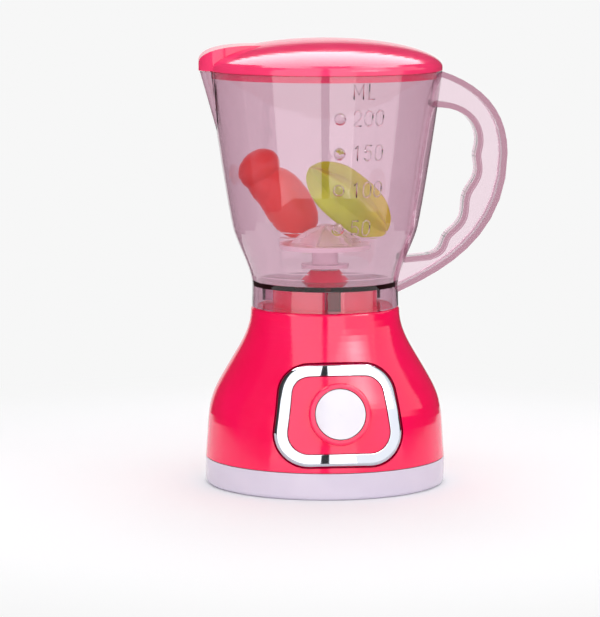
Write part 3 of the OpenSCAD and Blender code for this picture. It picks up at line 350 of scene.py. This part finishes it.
button_abs = moulded_plastic("button_white_ABS", button_colour, button_depth, gloss=(0.12, 0.17))
dress(button_abs, "button")
black_nylon = moulded_plastic("black_nylon", black_colour, black_depth, (0.35, 0.45), grain=(0.5, 0.01))
dress(black_nylon, "push_switch", "switch_plunger")


def paper_phenolic(name):
    """Pressed paper and resin: a brown sheet with short fibres, and a satin face."""
    material, shader, place = start_material(name, ior=1.6)
    stretched = add_node(material, "ShaderNodeMapping", {"Vector": place, "Scale": fibre_squeeze})
    fibres = mottle(material, stretched.outputs["Vector"], fibre_mm, 6)
    feed(material, shader, "Base Color", two_tones(material, fibres, board_colour, board_fibre))
    feed(material, shader, "Roughness", spread(material, fibres, 0.4, 0.55))
    relief(material, shader, fibres, 0.02)
    return material


dress(paper_phenolic("paper_phenolic_board"), "switch_board")


# Return spring of the button. Bright steel music wire, wound and ground, that stands on
# the switch and pushes up the button.
spring_wire = 0.3 * MM
spring_coil = 3.6 * MM
spring_turns = 6
steps_a_turn = 40
wire_sides = 12

# A bar's section is turned from this direction. It only must not lie along the bar.
any_way = Vector((0.3, 0.5, 0.8))


def swept(path, radius, sides):
    """Points and faces of a round bar along a path, closed at both ends."""
    last = len(path) - 1
    across = any_way
    points = []
    for i, middle in enumerate(path):
        along = (path[min(i + 1, last)] - path[max(i - 1, 0)]).normalized()
        across = (across - along * across.dot(along)).normalized()
        up = along.cross(across)
        for k in range(sides):
            turn = math.tau * k / sides
            points.append(middle + radius * (math.cos(turn) * across + math.sin(turn) * up))
    faces = band_faces(len(path), sides)
    faces.append(tuple(reversed(range(sides))))
    faces.append(tuple(range(last * sides, (last + 1) * sides)))
    return points, faces


def coil(foot, way, start, radius, turns, height):
    """A helix that climbs from foot along way. Start is the way to its first point."""
    side = way.cross(start)
    path = []
    for i in range(turns * steps_a_turn + 1):
        turn = math.tau * i / steps_a_turn
        out = math.cos(turn) * start + math.sin(turn) * side
        path.append(foot + radius * out + way * height * i / (turns * steps_a_turn))
    return path


spring_steel = bright_metal("bright_spring_steel", "#B4B7BC", "#A3A6AB", (0.18, 0.28), 0.004, 2)
low, high = span_along("button_spring", button_way)
spring_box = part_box("button_spring")
spring_middle = (spring_box[0] + spring_box[1]) / 2
spring_middle -= button_way * spring_middle.dot(button_way)
spring_length = high - low - 2 * spring_wire
spring_foot = spring_middle + button_way * (low + spring_wire)
spring_path = coil(spring_foot, button_way, Vector((1, 0, 0)), spring_coil, spring_turns, spring_length)
spring_form = swept(spring_path, spring_wire, wire_sides)
button_coil = mesh_piece("button_return_spring", *spring_form, spring_steel)
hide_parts("button_spring")
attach(button_coil, "base")
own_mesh(button_coil)


# Motor. A small can motor: a drawn steel can with two flats, a nylon end cap with brass
# terminals, ferrite magnets, a wound armature and a ground shaft.
motor_steel = bright_metal("zinc_plated_steel_can", "#A9ACAE", "#8F9294", (0.22, 0.36), 0.01, 4)
shaft_steel = bright_metal("ground_steel_shaft", "#BCC0C4", "#AAAEB3", (0.12, 0.2), 0.002, 1.5)
brass = bright_metal("stamped_brass", "#C9A24B", "#B08A3A", (0.2, 0.32), 0.004, 2)
white_nylon = moulded_plastic("natural_nylon", "#E4E0D2", "#D8D3C2", (0.3, 0.4), grain=(0.6, 0.01))
ferrite = moulded_plastic("pressed_ferrite", "#3B3B3E", "#2E2E31", (0.55, 0.7), grain=(0.3, 0.03))
dress(motor_steel, "motor_can")
dress(shaft_steel, "motor_shaft", "drive_spindle", "rotor_shaft")
dress(brass, "motor_terminals", "pinion", "spindle_bush")
dress(white_nylon, "motor_end_cap")
dress(ferrite, "motor_magnets")


def enamelled_winding(name):
    """Copper wire in amber enamel, laid turn by turn along the armature's slots. The turns are
    drawn about twice as wide as the real 0.45 mm wire, so that they show."""
    material, shader, place = start_material(name, ior=None, metallic=1.0)
    turn_mm = 0.884
    pitch_at_scale_one = math.tau / 20
    turns = {"Vector": place, "Scale": pitch_at_scale_one / (turn_mm * MM), "Distortion": 0.6}
    strands = add_node(material, "ShaderNodeTexWave", turns, bands_direction="X").outputs["Fac"]
    feed(material, shader, "Base Color", two_tones(material, strands, "#7A3B16", "#C8722B"))
    feed(material, shader, "Roughness", spread(material, strands, 0.4, 0.25))
    relief(material, shader, strands, 0.1)
    return material


dress(enamelled_winding("enamelled_copper_winding"), "motor_armature")


# Gear train and its deck. The deck is white ABS on posts, the large gear and the dog
# couplers are acetal, white and slightly waxy, pressed or keyed on their shafts.
deck_abs = moulded_plastic("natural_ABS", "#DDD8C8", "#D2CCBA", (0.25, 0.35), grain=(0.8, 0.015))
acetal = moulded_plastic("white_acetal", "#EDEBE4", "#E3E0D7", (0.22, 0.3), grain=(0.7, 0.008), ior=1.48)
dress(deck_abs, "gear_deck")
dress(acetal, "drive_gear", "drive_coupler", "rotor_coupler")


# Screws. Self-tapping screws with a zinc plating that has a faint yellow and blue cast.
screw_steel = bright_metal("zinc_plated_screw", "#B9B8A9", "#9BA3A8", (0.25, 0.38), 0.006, 1.5)
dress(screw_steel, "deck_screws", "cover_screws", "board_screws", "door_screw")


# Battery cells and their contacts. Two AA cells in a plain two-tone sleeve, with bright
# steel ends, between stamped contacts of nickel-plated spring steel.
nickel = bright_metal("nickel_plated_steel", "#C4C2B8", "#B2B0A6", (0.16, 0.28), 0.006, 3)
dress(nickel, "contact_positive", "contact_negative", "bridge_contact")
sleeve_dark = "#1E2A4A"
sleeve_band = "#C9862B"
can_steel = "#B9BABB"
band_length = 13 * MM
nub_height = 1.8 * MM
bare_end = 0.8 * MM


def beyond(material, place_x, limit):
    """1 where a point lies further along X than the limit, and 0 before it."""
    compare = {0: place_x, 1: limit}
    return add_node(material, "ShaderNodeMath", compare, operation="GREATER_THAN").outputs[0]


def cell_sleeve(name, node, nub_way):
    """A shrunk plastic sleeve, one end in a second colour, and the can's bare steel ends."""
    material, shader, place = start_material(name, ior=1.5)
    place_x = add_node(material, "ShaderNodeSeparateXYZ", {"Vector": place}).outputs["X"]
    low_end, high_end = [corner.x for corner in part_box(node)]
    nub_end, plain_end = (high_end, low_end) if nub_way > 0 else (low_end, high_end)
    band = beyond(material, place_x, nub_end - nub_way * band_length)
    past_nub = beyond(material, place_x, nub_end - nub_way * nub_height)
    past_foot = beyond(material, place_x, plain_end + nub_way * bare_end)
    ends = {0: past_nub, 1: past_foot}
    one_only = add_node(material, "ShaderNodeMath", ends, operation="SUBTRACT").outputs[0]
    sleeved = add_node(material, "ShaderNodeMath", {0: one_only}, operation="ABSOLUTE").outputs[0]
    rest = {0: 1.0, 1: sleeved}
    bare = add_node(material, "ShaderNodeMath", rest, operation="SUBTRACT").outputs[0]
    first, second = (sleeve_dark, sleeve_band) if nub_way > 0 else (sleeve_band, sleeve_dark)
    sleeve = two_tones(material, band, first, second)
    feed(material, shader, "Base Color", two_tones(material, sleeved, can_steel, sleeve))
    feed(material, shader, "Metallic", bare)
    feed(material, shader, "Roughness", spread(material, mottle(material, place, 4, 3), 0.2, 0.32))
    relief(material, shader, mottle(material, place, 6, 1), 0.02)
    return material


dress(cell_sleeve("front_cell_sleeve", "cell_front", 1), "cell_front")
dress(cell_sleeve("rear_cell_sleeve", "cell_rear", -1), "cell_rear")


# Contact springs. Two short coils of nickel-plated wire that press on the cells' flat
# ends. Each is wound like the button's spring and stands on its contact.
contact_wire = 0.3 * MM
contact_coil = 3.2 * MM
contact_turns = 2


def add_bar(points, faces, path, radius, sides):
    """Adds a round bar to a form that is being made."""
    bar, bar_faces = swept(path, radius, sides)
    faces += [tuple(i + len(points) for i in face) for face in bar_faces]
    points += bar


cad_points = [v.co for v in nodes["contact_springs"].data.vertices]
coil_points = []
coil_faces = []
for side in (-1, 1):
    one_coil = [p for p in cad_points if p.x * side > 0]
    reach_low = min(p.x * side for p in one_coil)
    reach_high = max(p.x * side for p in one_coil)
    middle_y = (min(p.y for p in one_coil) + max(p.y for p in one_coil)) / 2
    middle_z = (min(p.z for p in one_coil) + max(p.z for p in one_coil)) / 2
    foot = Vector((side * (reach_high - contact_wire), middle_y, middle_z))
    path = coil(
        foot, Vector((-side, 0, 0)), Vector((0, 0, side)), contact_coil, contact_turns,
        reach_high - reach_low - 2 * contact_wire,
    )
    add_bar(coil_points, coil_faces, path, contact_wire, wire_sides)
contact_coils = mesh_piece("contact_coils", coil_points, coil_faces, nickel)
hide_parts("contact_springs")
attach(contact_coils, "base")


# Leads. Thin stranded wire in soft PVC, soldered to the contacts, the switch and the
# motor, and lying loose in the housing. Their routes are in millimetres.
lead_radius = 0.6 * MM
lead_sides = 16
strand_lay_mm = 2.5


def soft_PVC(name, colour, depth):
    """Extruded PVC insulation: satin, with the strands' lay just showing through."""
    material, shader, place = start_material(name, ior=1.53)
    lay = mottle(material, place, strand_lay_mm, 2)
    feed(material, shader, "Base Color", two_tones(material, lay, colour, depth))
    feed(material, shader, "Roughness", spread(material, lay, 0.32, 0.44))
    relief(material, shader, lay, 0.03)
    return material


def through(stops, steps=10):
    """A smooth curve through the stops."""
    path = []
    for i in range(len(stops) - 1):
        before, here = stops[max(i - 1, 0)], stops[i]
        ahead, later = stops[i + 1], stops[min(i + 2, len(stops) - 1)]
        start = (ahead - before) / 2
        bend = before - 2.5 * here + 2 * ahead - later / 2
        twist = 1.5 * (here - ahead) + (later - before) / 2
        for k in range(steps):
            share = k / steps
            path.append(here + share * (start + share * (bend + share * twist)))
    return path + [stops[-1]]


contact_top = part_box("contact_positive")[1].z / MM
lead_routes = {
    "red_lead": [
        (26.2, -7.6, contact_top - 0.6), (24.4, -10.5, 23.5), (20, -14, 26), (14.5, -14.6, 26.8),
        (8.6, -15.6, 26.6), (7, -19.2, 27.2),
    ],
    "black_lead": [
        (26.2, 7.6, contact_top - 0.6), (24, 10, 23.2), (20, 12.6, 23.8), (16, 13.8, 23.4),
        (12.6, 14, 22.6),
    ],
    "motor_lead": [
        (-12.6, 14, 22.6), (-16, 13.4, 23.4), (-20, 8, 24.6), (-21, 0, 25.4), (-18.5, -9.5, 26.2),
        (-14, -14.4, 26.8), (-8.6, -15.6, 26.6), (-7, -19.2, 27.2),
    ],
}
red_PVC = soft_PVC("red_PVC_insulation", "#C2212B", "#AE1A24")
black_PVC = soft_PVC("black_PVC_insulation", "#1E1E21", "#151517")
for node, stops in lead_routes.items():
    route = through([Vector(stop) * MM for stop in stops])
    insulation, slot = (black_PVC, "black_lead") if node == "black_lead" else (red_PVC, "red_lead")
    wire = mesh_piece(node.replace("lead", "wire"), *swept(route, lead_radius, lead_sides), insulation)
    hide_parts(node)
    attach(wire, "base")


# Jug. One moulding of smoke-tinted clear styrene with its spout and handle, polished all
# over. The tint is in the plastic, so thick rims look darker than the thin wall.
clear_skin = "#FBF8FA"
clear_flow = "#F6F1F4"
clear_ior = 1.57
smoke_colour = "#CB73A2"
smoke_a_metre = 240


def blend_of_looks(material, share, first, second):
    """Shows the first shader at a share of 0 and the second at 1."""
    blend = add_node(material, "ShaderNodeMixShader", {0: share, 1: first, 2: second})
    output = material.node_tree.nodes["Material Output"]
    material.node_tree.links.new(blend.outputs["Shader"], output.inputs["Surface"])


def clear_moulding(name):
    """Clear plastic, tinted in the mass. The walls ripple a little where the melt flowed round
    the core, so what lies behind them wavers. The lamps' light passes straight through."""
    material, shader, place = start_material(name, clear_ior)
    swirl = mottle(material, place, 25, 1)
    feed(material, shader, "Base Color", two_tones(material, swirl, clear_skin, clear_flow))
    shader.inputs["Transmission Weight"].default_value = 1.0
    feed(material, shader, "Roughness", spread(material, mottle(material, place, 8, 3), 0.0, 0.04))
    relief(material, shader, mottle(material, place, 14, 1), 0.02)
    let_through = add_node(material, "ShaderNodeBsdfTransparent", {"Color": linear(clear_skin)})
    lamp_ray = add_node(material, "ShaderNodeLightPath", {}).outputs["Is Shadow Ray"]
    blend_of_looks(material, lamp_ray, shader.outputs["BSDF"], let_through.outputs["BSDF"])
    smoke = {"Color": linear(smoke_colour), "Density": smoke_a_metre}
    tint = add_node(material, "ShaderNodeVolumeAbsorption", smoke)
    output = material.node_tree.nodes["Material Output"]
    material.node_tree.links.new(tint.outputs["Volume"], output.inputs["Volume"])
    return material


smoke_clear = clear_moulding("smoke_clear_styrene")
dress(smoke_clear, "jug")


# Scale on the jug. Thin raised figures, and a rim round each of the four dots, cut into
# the tool with a round cutter, so each stroke is a low round bead on the wall.
stroke_radius = 0.24 * MM
stroke_rise = 0.22 * MM
figure_height = 5.2 * MM
figure_width = 3.0 * MM
figure_pitch = 4.2 * MM
figures_start = 4.7 * MM
dot_rim_radius = 1.7 * MM
dot_rim_steps = 28
arc_steps = 14
bead_sides = 10


def arc(middle, half_width, half_height, start, end):
    """Points of part of an ellipse, in a figure's own box of 1 by 1. Its ends are in degrees."""
    turns = [math.radians(start + (end - start) * i / arc_steps) for i in range(arc_steps + 1)]
    return [
        (middle[0] + half_width * math.cos(turn), middle[1] + half_height * math.sin(turn))
        for turn in turns
    ]


strokes = {
    "0": [
        arc((0.5, 0.68), 0.46, 0.32, 0, 180) + arc((0.5, 0.32), 0.46, 0.32, 180, 360) + [(0.96, 0.68)]
    ],
    "1": [[(0.28, 0.8), (0.6, 1.0), (0.6, 0.0)]],
    "2": [arc((0.5, 0.7), 0.44, 0.3, 170, -35) + [(0.04, 0.0), (0.98, 0.0)]],
    "5": [[(0.9, 1.0), (0.18, 1.0), (0.1, 0.56)] + arc((0.48, 0.32), 0.46, 0.32, 125, -150)],
    "m": [[(0.0, 0.0), (0.0, 1.0), (0.55, 0.3), (1.1, 1.0), (1.1, 0.0)]],
    "l": [[(0.4, 1.0), (0.4, 0.0), (1.1, 0.0)]],
}

# Heights of the rows over the table in millimetres. The dots' are those of the CAD jug.
dot_heights = [92.7, 106.1, 118.8, 130.8]
unit_height = 139.9
scale_rows = list(zip(["50", "100", "150", "200"], dot_heights)) + [("ml", unit_height)]
jug_wall = node_surface("jug")


def on_wall(along, height, radius):
    """The point of the jug's outer side that far round from the button's side, and its outward way."""
    way = way_out_at(along / radius)
    return jug_wall.ray_cast(Vector((0, 0, height)) + way * probe_from, -way)[:2]


def wall_beads(lines, height):
    """Points and faces of beads laid on the wall. A line's points go round it and up from height."""
    front = on_wall(0, height, 1)[0]
    radius = math.hypot(front.x, front.y)
    points = []
    faces = []
    for line in lines:
        path = []
        for along, up in line:
            hit, normal = on_wall(along, height + up, radius)
            path.append(hit + normal * (stroke_rise - stroke_radius))
        add_bar(points, faces, path, stroke_radius, bead_sides)
    return points, faces


def figure_lines(text):
    """The strokes of a row of figures, in metres from the dot beside it."""
    return [
        [
            (figures_start + column * figure_pitch + across * figure_width, (up - 0.5) * figure_height)
            for across, up in stroke
        ]
        for column, letter in enumerate(text)
        for stroke in strokes[letter]
    ]


dot_rim_turns = [math.tau * k / dot_rim_steps for k in range(dot_rim_steps + 1)]
dot_rim = [(dot_rim_radius * math.cos(turn), dot_rim_radius * math.sin(turn)) for turn in dot_rim_turns]
for text, height in scale_rows:
    rims = [] if text == "ml" else [dot_rim]
    row_form = wall_beads(rims + figure_lines(text), height * MM)
    row = mesh_piece("scale_" + text, *row_form, smoke_clear)
    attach(row, "jug_body")


# Bearing cone. A pink ABS hub that carries the stirrer's shaft and keeps it tight. It
# stands on the jug's floor, held by three pegs that are staked on the underside.
dress(pink_abs, "bearing_cone")


# Stirrer. A flange with a ribbed dome in white ABS, on a thin washer, keyed to the shaft.
stirrer_abs = moulded_plastic("stirrer_white_ABS", "#FFF7FA", "#FBF0F5", gloss=(0.16, 0.24))
dress(stirrer_abs, "rotor", "rotor_washer")


# Lid. A dome with a tongue over the spout, in the same ABS as the base but a lighter
# pink, polished. Its plug ring holds it in the jug's rim.
lid_abs = moulded_plastic("lid_pink_moulded_ABS", "#FB3F74", "#F63468")
dress(lid_abs, "lid")


# Toy fruits. Two hollow mouldings of soft PVC with a satin skin and a fine mould seam:
# a red lobed fruit and a yellow-green star fruit. They lie loose in the jug. In this
# section lengths are in millimetres, until a fruit is stood on its place.
fruit_turn = math.radians(-7.5)
floor_z = 71.6
pepper_len = 27
pepper_width = 17.6
pepper_at = Vector((-18.4, 13.4, floor_z + 34.6))
pepper_lean = math.radians(37)
star_len = 35
star_width = 21.8
star_depth = 0.3
star_ridges = 5
ridge_round = 0.1
ridge_fade = 2.2
star_at = Vector((6.4, -11.1, floor_z + 28.9))
star_lean = math.radians(50)
star_roll = math.radians(-70)
seam_width = 0.035
seam_depth = 0.012
fruit_crease = math.radians(30)


def leaning(place, lean, roll):
    """Stands a form on its place, turned and leant as the loose fruit lies."""
    turn = Matrix.Rotation(fruit_turn, 4, "Z") @ Matrix.Rotation(-lean, 4, "Y")
    return Matrix.Scale(MM, 4) @ Matrix.Translation(place) @ turn @ Matrix.Rotation(roll, 4, "Z")


def round_form(reach, rings, sides):
    """Points and faces of a closed form. Reach gives how far it goes in a direction."""
    ways = [Vector((0, 0, 1))]
    for i in range(1, rings):
        down = math.pi * i / rings
        for k in range(sides):
            turn = math.tau * k / sides
            flat = math.sin(down)
            ways.append(Vector((flat * math.cos(turn), flat * math.sin(turn), math.cos(down))))
    ways.append(Vector((0, 0, -1)))
    last = 1 + (rings - 2) * sides
    faces = [(0, 1 + k, 1 + (k + 1) % sides) for k in range(sides)]
    for here, beside, below_beside, below in band_faces(rings - 1, sides):
        faces.append((1 + here, 1 + below, 1 + below_beside, 1 + beside))
    faces += [(last + sides, last + (k + 1) % sides, last + k) for k in range(sides)]
    return [reach(way) * way for way in ways], faces


def ellipsoid_reach(way, middle, half):
    """How far an ellipsoid that holds the origin reaches in a direction."""
    ray = Vector(way[i] / half[i] for i in range(3))
    centre = Vector(middle[i] / half[i] for i in range(3))
    inside = ray.dot(centre) ** 2 - ray.dot(ray) * (centre.dot(centre) - 1)
    return (ray.dot(centre) + math.sqrt(max(0, inside))) / ray.dot(ray)


def seam(way):
    """1 off the mould seam, and a little less in its fine groove."""
    off = way.y / seam_width
    return 1 - seam_depth * math.exp(-off * off)


half_width = pepper_width / 2

# Each lobe is an ellipsoid: its middle in the fruit's own frame, and its half sizes.
pepper_lobes = [
    ((-0.8, 0, 5.2), (half_width - 0.6, half_width - 1.6, 6.3)),
    ((-2.2, 0.4, -1.5), (half_width - 2.4, half_width - 2.2, 9)),
    ((-0.2, 0.3, 3.2 - pepper_len / 2), (half_width - 0.3, half_width - 1.5, pepper_len / 2)),
    ((1.6, -0.5, -6.5), (half_width - 2.1, half_width - 2.2, 9)),
    ((1.8, 0.6, -10.4), (half_width - 2.2, half_width - 2.8, 13.4)),
    ((-2.4, 0.8, -13.2), (half_width - 2.4, half_width - 2.6, 10)),
]


def pepper_reach(way):
    """The lobes' reach with soft valleys between them."""
    softness = 20
    joined = sum(ellipsoid_reach(way, *lobe) ** softness for lobe in pepper_lobes)
    return joined ** (1 / softness) * seam(way)


def star_edge(turn):
    """How far in a star with straight sides lies: 0 at its points, 1 at its creases."""
    sector = math.pi / star_ridges
    off_point = abs((turn + sector) % (2 * sector) - sector)
    off_point = math.hypot(off_point, ridge_round * (1 - off_point / sector))
    crease = 1 - star_depth
    side = crease * math.sin(sector) / (math.sin(off_point) + crease * math.sin(sector - off_point))
    return (1 - side) / star_depth


def star_reach(way):
    """A blunt spindle with a star's section, whose ridges fade out at both ends."""
    flat = math.hypot(way.x, way.y)
    bluntness = 2.5
    ridge = star_edge(math.atan2(way.y, way.x))
    over_width = (2 * flat / star_width) ** bluntness
    over_length = (2 * abs(way.z) / star_len) ** bluntness
    body = (over_width + over_length) ** (-1 / bluntness)
    return body * (1 - star_depth * ridge * min(1, ridge_fade * flat))


def satin_PVC(name, light, deep, shaded_end, shade_start, shade_end, blotch_mm):
    """Soft PVC from a slush mould: a satin skin with fine pores, the colour sprayed on unevenly,
    and painted shade: one end takes a deeper painted tone, as if it lay in shade."""
    material, shader, place = start_material(name, ior=1.52)
    spray = mottle(material, place, blotch_mm, 3)
    skin = two_tones(material, spread(material, spray, 0, 1), light, deep)
    place_x = add_node(material, "ShaderNodeSeparateXYZ", {"Vector": place}).outputs["X"]
    # Painted shade: past these places along X the skin goes over to the deeper tone of the shaded end.
    over = {"Value": place_x, "From Min": shade_start * MM, "From Max": shade_end * MM}
    end_shade_share = add_node(material, "ShaderNodeMapRange", over, interpolation_type="SMOOTHSTEP")
    skin_with_end_shade = two_tones(material, end_shade_share.outputs["Result"], skin, shaded_end)
    feed(material, shader, "Base Color", skin_with_end_shade)
    feed(material, shader, "Roughness", spread(material, mottle(material, place, 3, 4), 0.28, 0.4))
    shader.inputs["Subsurface Weight"].default_value = 0.15
    shader.inputs["Subsurface Radius"].default_value = (1.2 * MM, 0.5 * MM, 0.3 * MM)
    shader.inputs["Subsurface Scale"].default_value = 1.0
    relief(material, shader, mottle(material, place, 0.7, 3), 0.02)
    return material


fruit_rings = 96
fruit_sides = 120
# In each fruit's finish the third colour is painted shade, the deeper tone of the end that lies in
# shade. The two numbers after it say where along X, in millimetres, that painted shade starts and where
# it is full.
for name, node, reach, place, body, skin in (
    (
        "red_toy_fruit", "red_fruit", pepper_reach, leaning(pepper_at, pepper_lean, 0), "red_toy",
        satin_PVC("red_satin_PVC", "#FF2A1C", "#FA1A10", "#F50F0A", -22, -32, 9),
    ),
    (
        "star_toy_fruit", "star_fruit", star_reach, leaning(star_at, star_lean, star_roll), "star_toy",
        satin_PVC("yellow_green_satin_PVC", "#CAEE06", "#B2CC00", "#D6D606", 6, 20, 12),
    ),
):
    points, faces = round_form(reach, fruit_rings, fruit_sides)
    fruit = mesh_piece(name, [place @ point for point in points], faces, skin)
    fruit.data.set_sharp_from_angle(angle=fruit_crease)
    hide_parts(node)
    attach(fruit, body)


# Table. A plain pale round table that the toy stands on. Towards its edge it melts into
# the pale room behind it, and near the toy it takes its soft shadow.
room_grey = 0.93
table_colour = "#F1F1F3"
table_roughness = 0.7
table_radius = 0.27
melt_start = 0.12
melt_end = 0.97 * table_radius
table_sides = 96

table_mesh = bpy.data.meshes.new("table")
rim_turns = [math.tau * k / table_sides for k in range(table_sides)]
rim = [(table_radius * math.cos(turn), table_radius * math.sin(turn), 0) for turn in rim_turns]
table_mesh.from_pydata(rim, [], [tuple(range(table_sides))])
table = bpy.data.objects.new("table", table_mesh)
scene.collection.objects.link(table)

table_top, table_shader, table_place = start_material("pale_table", ior=1.5)
table_shader.inputs["Base Color"].default_value = linear(table_colour)
table_shader.inputs["Roughness"].default_value = table_roughness
from_middle = add_node(table_top, "ShaderNodeVectorMath", {0: table_place}, operation="LENGTH")
melt = {"Value": from_middle.outputs["Value"], "From Min": melt_start, "From Max": melt_end}
melting = add_node(table_top, "ShaderNodeMapRange", melt, interpolation_type="SMOOTHSTEP")
room_glow = {"Color": (room_grey, room_grey, room_grey, 1), "Strength": 1.0}
room_look = add_node(table_top, "ShaderNodeEmission", room_glow)
blend_of_looks(
    table_top, melting.outputs["Result"], table_shader.outputs["BSDF"], room_look.outputs["Emission"],
)
table_mesh.materials.append(table_top)


# Room. It is pale all round for the eye and through clear plastic. What glossy skins
# mirror is pale only straight behind the toy and dim elsewhere, as in a studio.
room_light = 0.25
dim_side = 0.06
mirror_start = 0.945
mirror_end = 0.97
room = bpy.data.worlds.new("pale_room")
room.use_nodes = True
scene.world = room
background = room.node_tree.nodes["Background"]
background.inputs["Color"].default_value = (1, 1, 1, 1)
ray_kind = add_node(room, "ShaderNodeLightPath", {})
way_out = add_node(room, "ShaderNodeTexCoord", {}).outputs["Generated"]
way_back = add_node(room, "ShaderNodeSeparateXYZ", {"Vector": way_out}).outputs["Y"]
behind = {
    "Value": way_back, "From Min": mirror_start, "From Max": mirror_end,
    "To Min": dim_side, "To Max": room_grey,
}
mirrored = add_node(room, "ShaderNodeMapRange", behind)
level = room_light
for ray, strength in (
    ("Is Glossy Ray", mirrored.outputs["Result"]),
    ("Is Transmission Ray", room_grey),
    ("Is Camera Ray", room_grey),
):
    choice = {"Value": ray_kind.outputs[ray], "To Min": level, "To Max": strength}
    level = add_node(room, "ShaderNodeMapRange", choice).outputs["Result"]
room.node_tree.links.new(level, background.inputs["Strength"])


# Lamps. Tall softboxes stand left and right of the camera, with a narrow dark gap between
# them where the camera looks through, and a wide one hangs overhead. Each is a soft light
# for the toy's colours, and a gleam that only glossy skins mirror. Sizes are in metres.
lamp_distance = 0.9
gleam_nearer = 0.02
hot_spot_nearer = 0.06
panel_low = -0.36
panel_high = 1.3
gleam_high = 2.0
far_right_gleam = 1.5
top_place = Vector((0.07, 0.35, 0.87))
top_facing = Vector((0, -0.25, -0.97))
top_size = (1.1, 1.0)


def one_lamp(name, place, facing, size, strength, is_gleam):
    """A rectangular lamp, as strong as that many white walls in full light."""
    lamp = bpy.data.lights.new(name, "AREA")
    lamp.shape = "RECTANGLE"
    lamp.size, lamp.size_y = size
    lamp.energy = strength * math.pi * size[0] * size[1]
    stand = bpy.data.objects.new(name, lamp)
    stand.location = place
    stand.rotation_euler = facing.to_track_quat("-Z", "Y").to_euler()
    stand.visible_camera = False
    stand.visible_diffuse = not is_gleam
    stand.visible_glossy = is_gleam
    stand.visible_transmission = not is_gleam
    scene.collection.objects.link(stand)
    return lamp


def hot_spot(name, turn, rise, width, gleam, around):
    """A gleam that fades to that of the softbox behind it, like a bulb behind its cloth."""
    way = way_out_at(turn, rise)
    place = way * (lamp_distance - hot_spot_nearer)
    lamp = one_lamp(name, place, -way, (width, width), gleam, is_gleam=True)
    lamp.use_nodes = True
    across = add_node(lamp, "ShaderNodeNewGeometry", {}).outputs["Parametric"]
    middle = (0.5, 0.5, 0)
    off_middle = add_node(lamp, "ShaderNodeVectorMath", {0: across, 1: middle}, operation="DISTANCE")
    fading = {
        "Value": off_middle.outputs["Value"], "From Min": 0, "From Max": 0.5,
        "To Min": 1, "To Max": around / gleam,
    }
    fade = add_node(lamp, "ShaderNodeMapRange", fading, interpolation_type="SMOOTHSTEP")
    glow = lamp.node_tree.nodes["Emission"]
    lamp.node_tree.links.new(fade.outputs["Result"], glow.inputs["Strength"])


def softbox(name, from_turn, to_turn, light, gleam, low=panel_low):
    """An upright softbox between two directions, in degrees to the right of straight ahead."""
    turn = math.radians((from_turn + to_turn) / 2)
    half_turn = math.radians((to_turn - from_turn) / 2)
    way = way_out_at(turn)
    width = 2 * lamp_distance * math.tan(half_turn)
    for is_gleam, strength, top in ((False, light, panel_high), (True, gleam, gleam_high)):
        place = way * (lamp_distance - gleam_nearer * is_gleam) + Vector((0, 0, (low + top) / 2))
        lamp_name = name + ("_gleam" if is_gleam else "_light")
        one_lamp(lamp_name, place, -way, (width, top - low), strength, is_gleam)


softbox("far_left_softbox", -100, -60, light=0.8, gleam=dim_side)
softbox("left_softbox", -60, -12, light=1.2, gleam=2.2)
softbox("right_softbox", -3, 22, light=1.15, gleam=2.6)
softbox("far_right_softbox", 22, 72, light=1.15, gleam=far_right_gleam)
softbox("side_softbox", 72, 106, light=0.3, gleam=1.1, low=0.15)
hot_spot("hot_spot", math.radians(40), math.radians(42), width=0.55, gleam=8, around=far_right_gleam)
one_lamp("top_softbox_light", top_place, top_facing, top_size, strength=1.8, is_gleam=False)
nearer_place = top_place + top_facing * gleam_nearer
one_lamp("top_softbox_gleam", nearer_place, top_facing, top_size, strength=4.8, is_gleam=True)
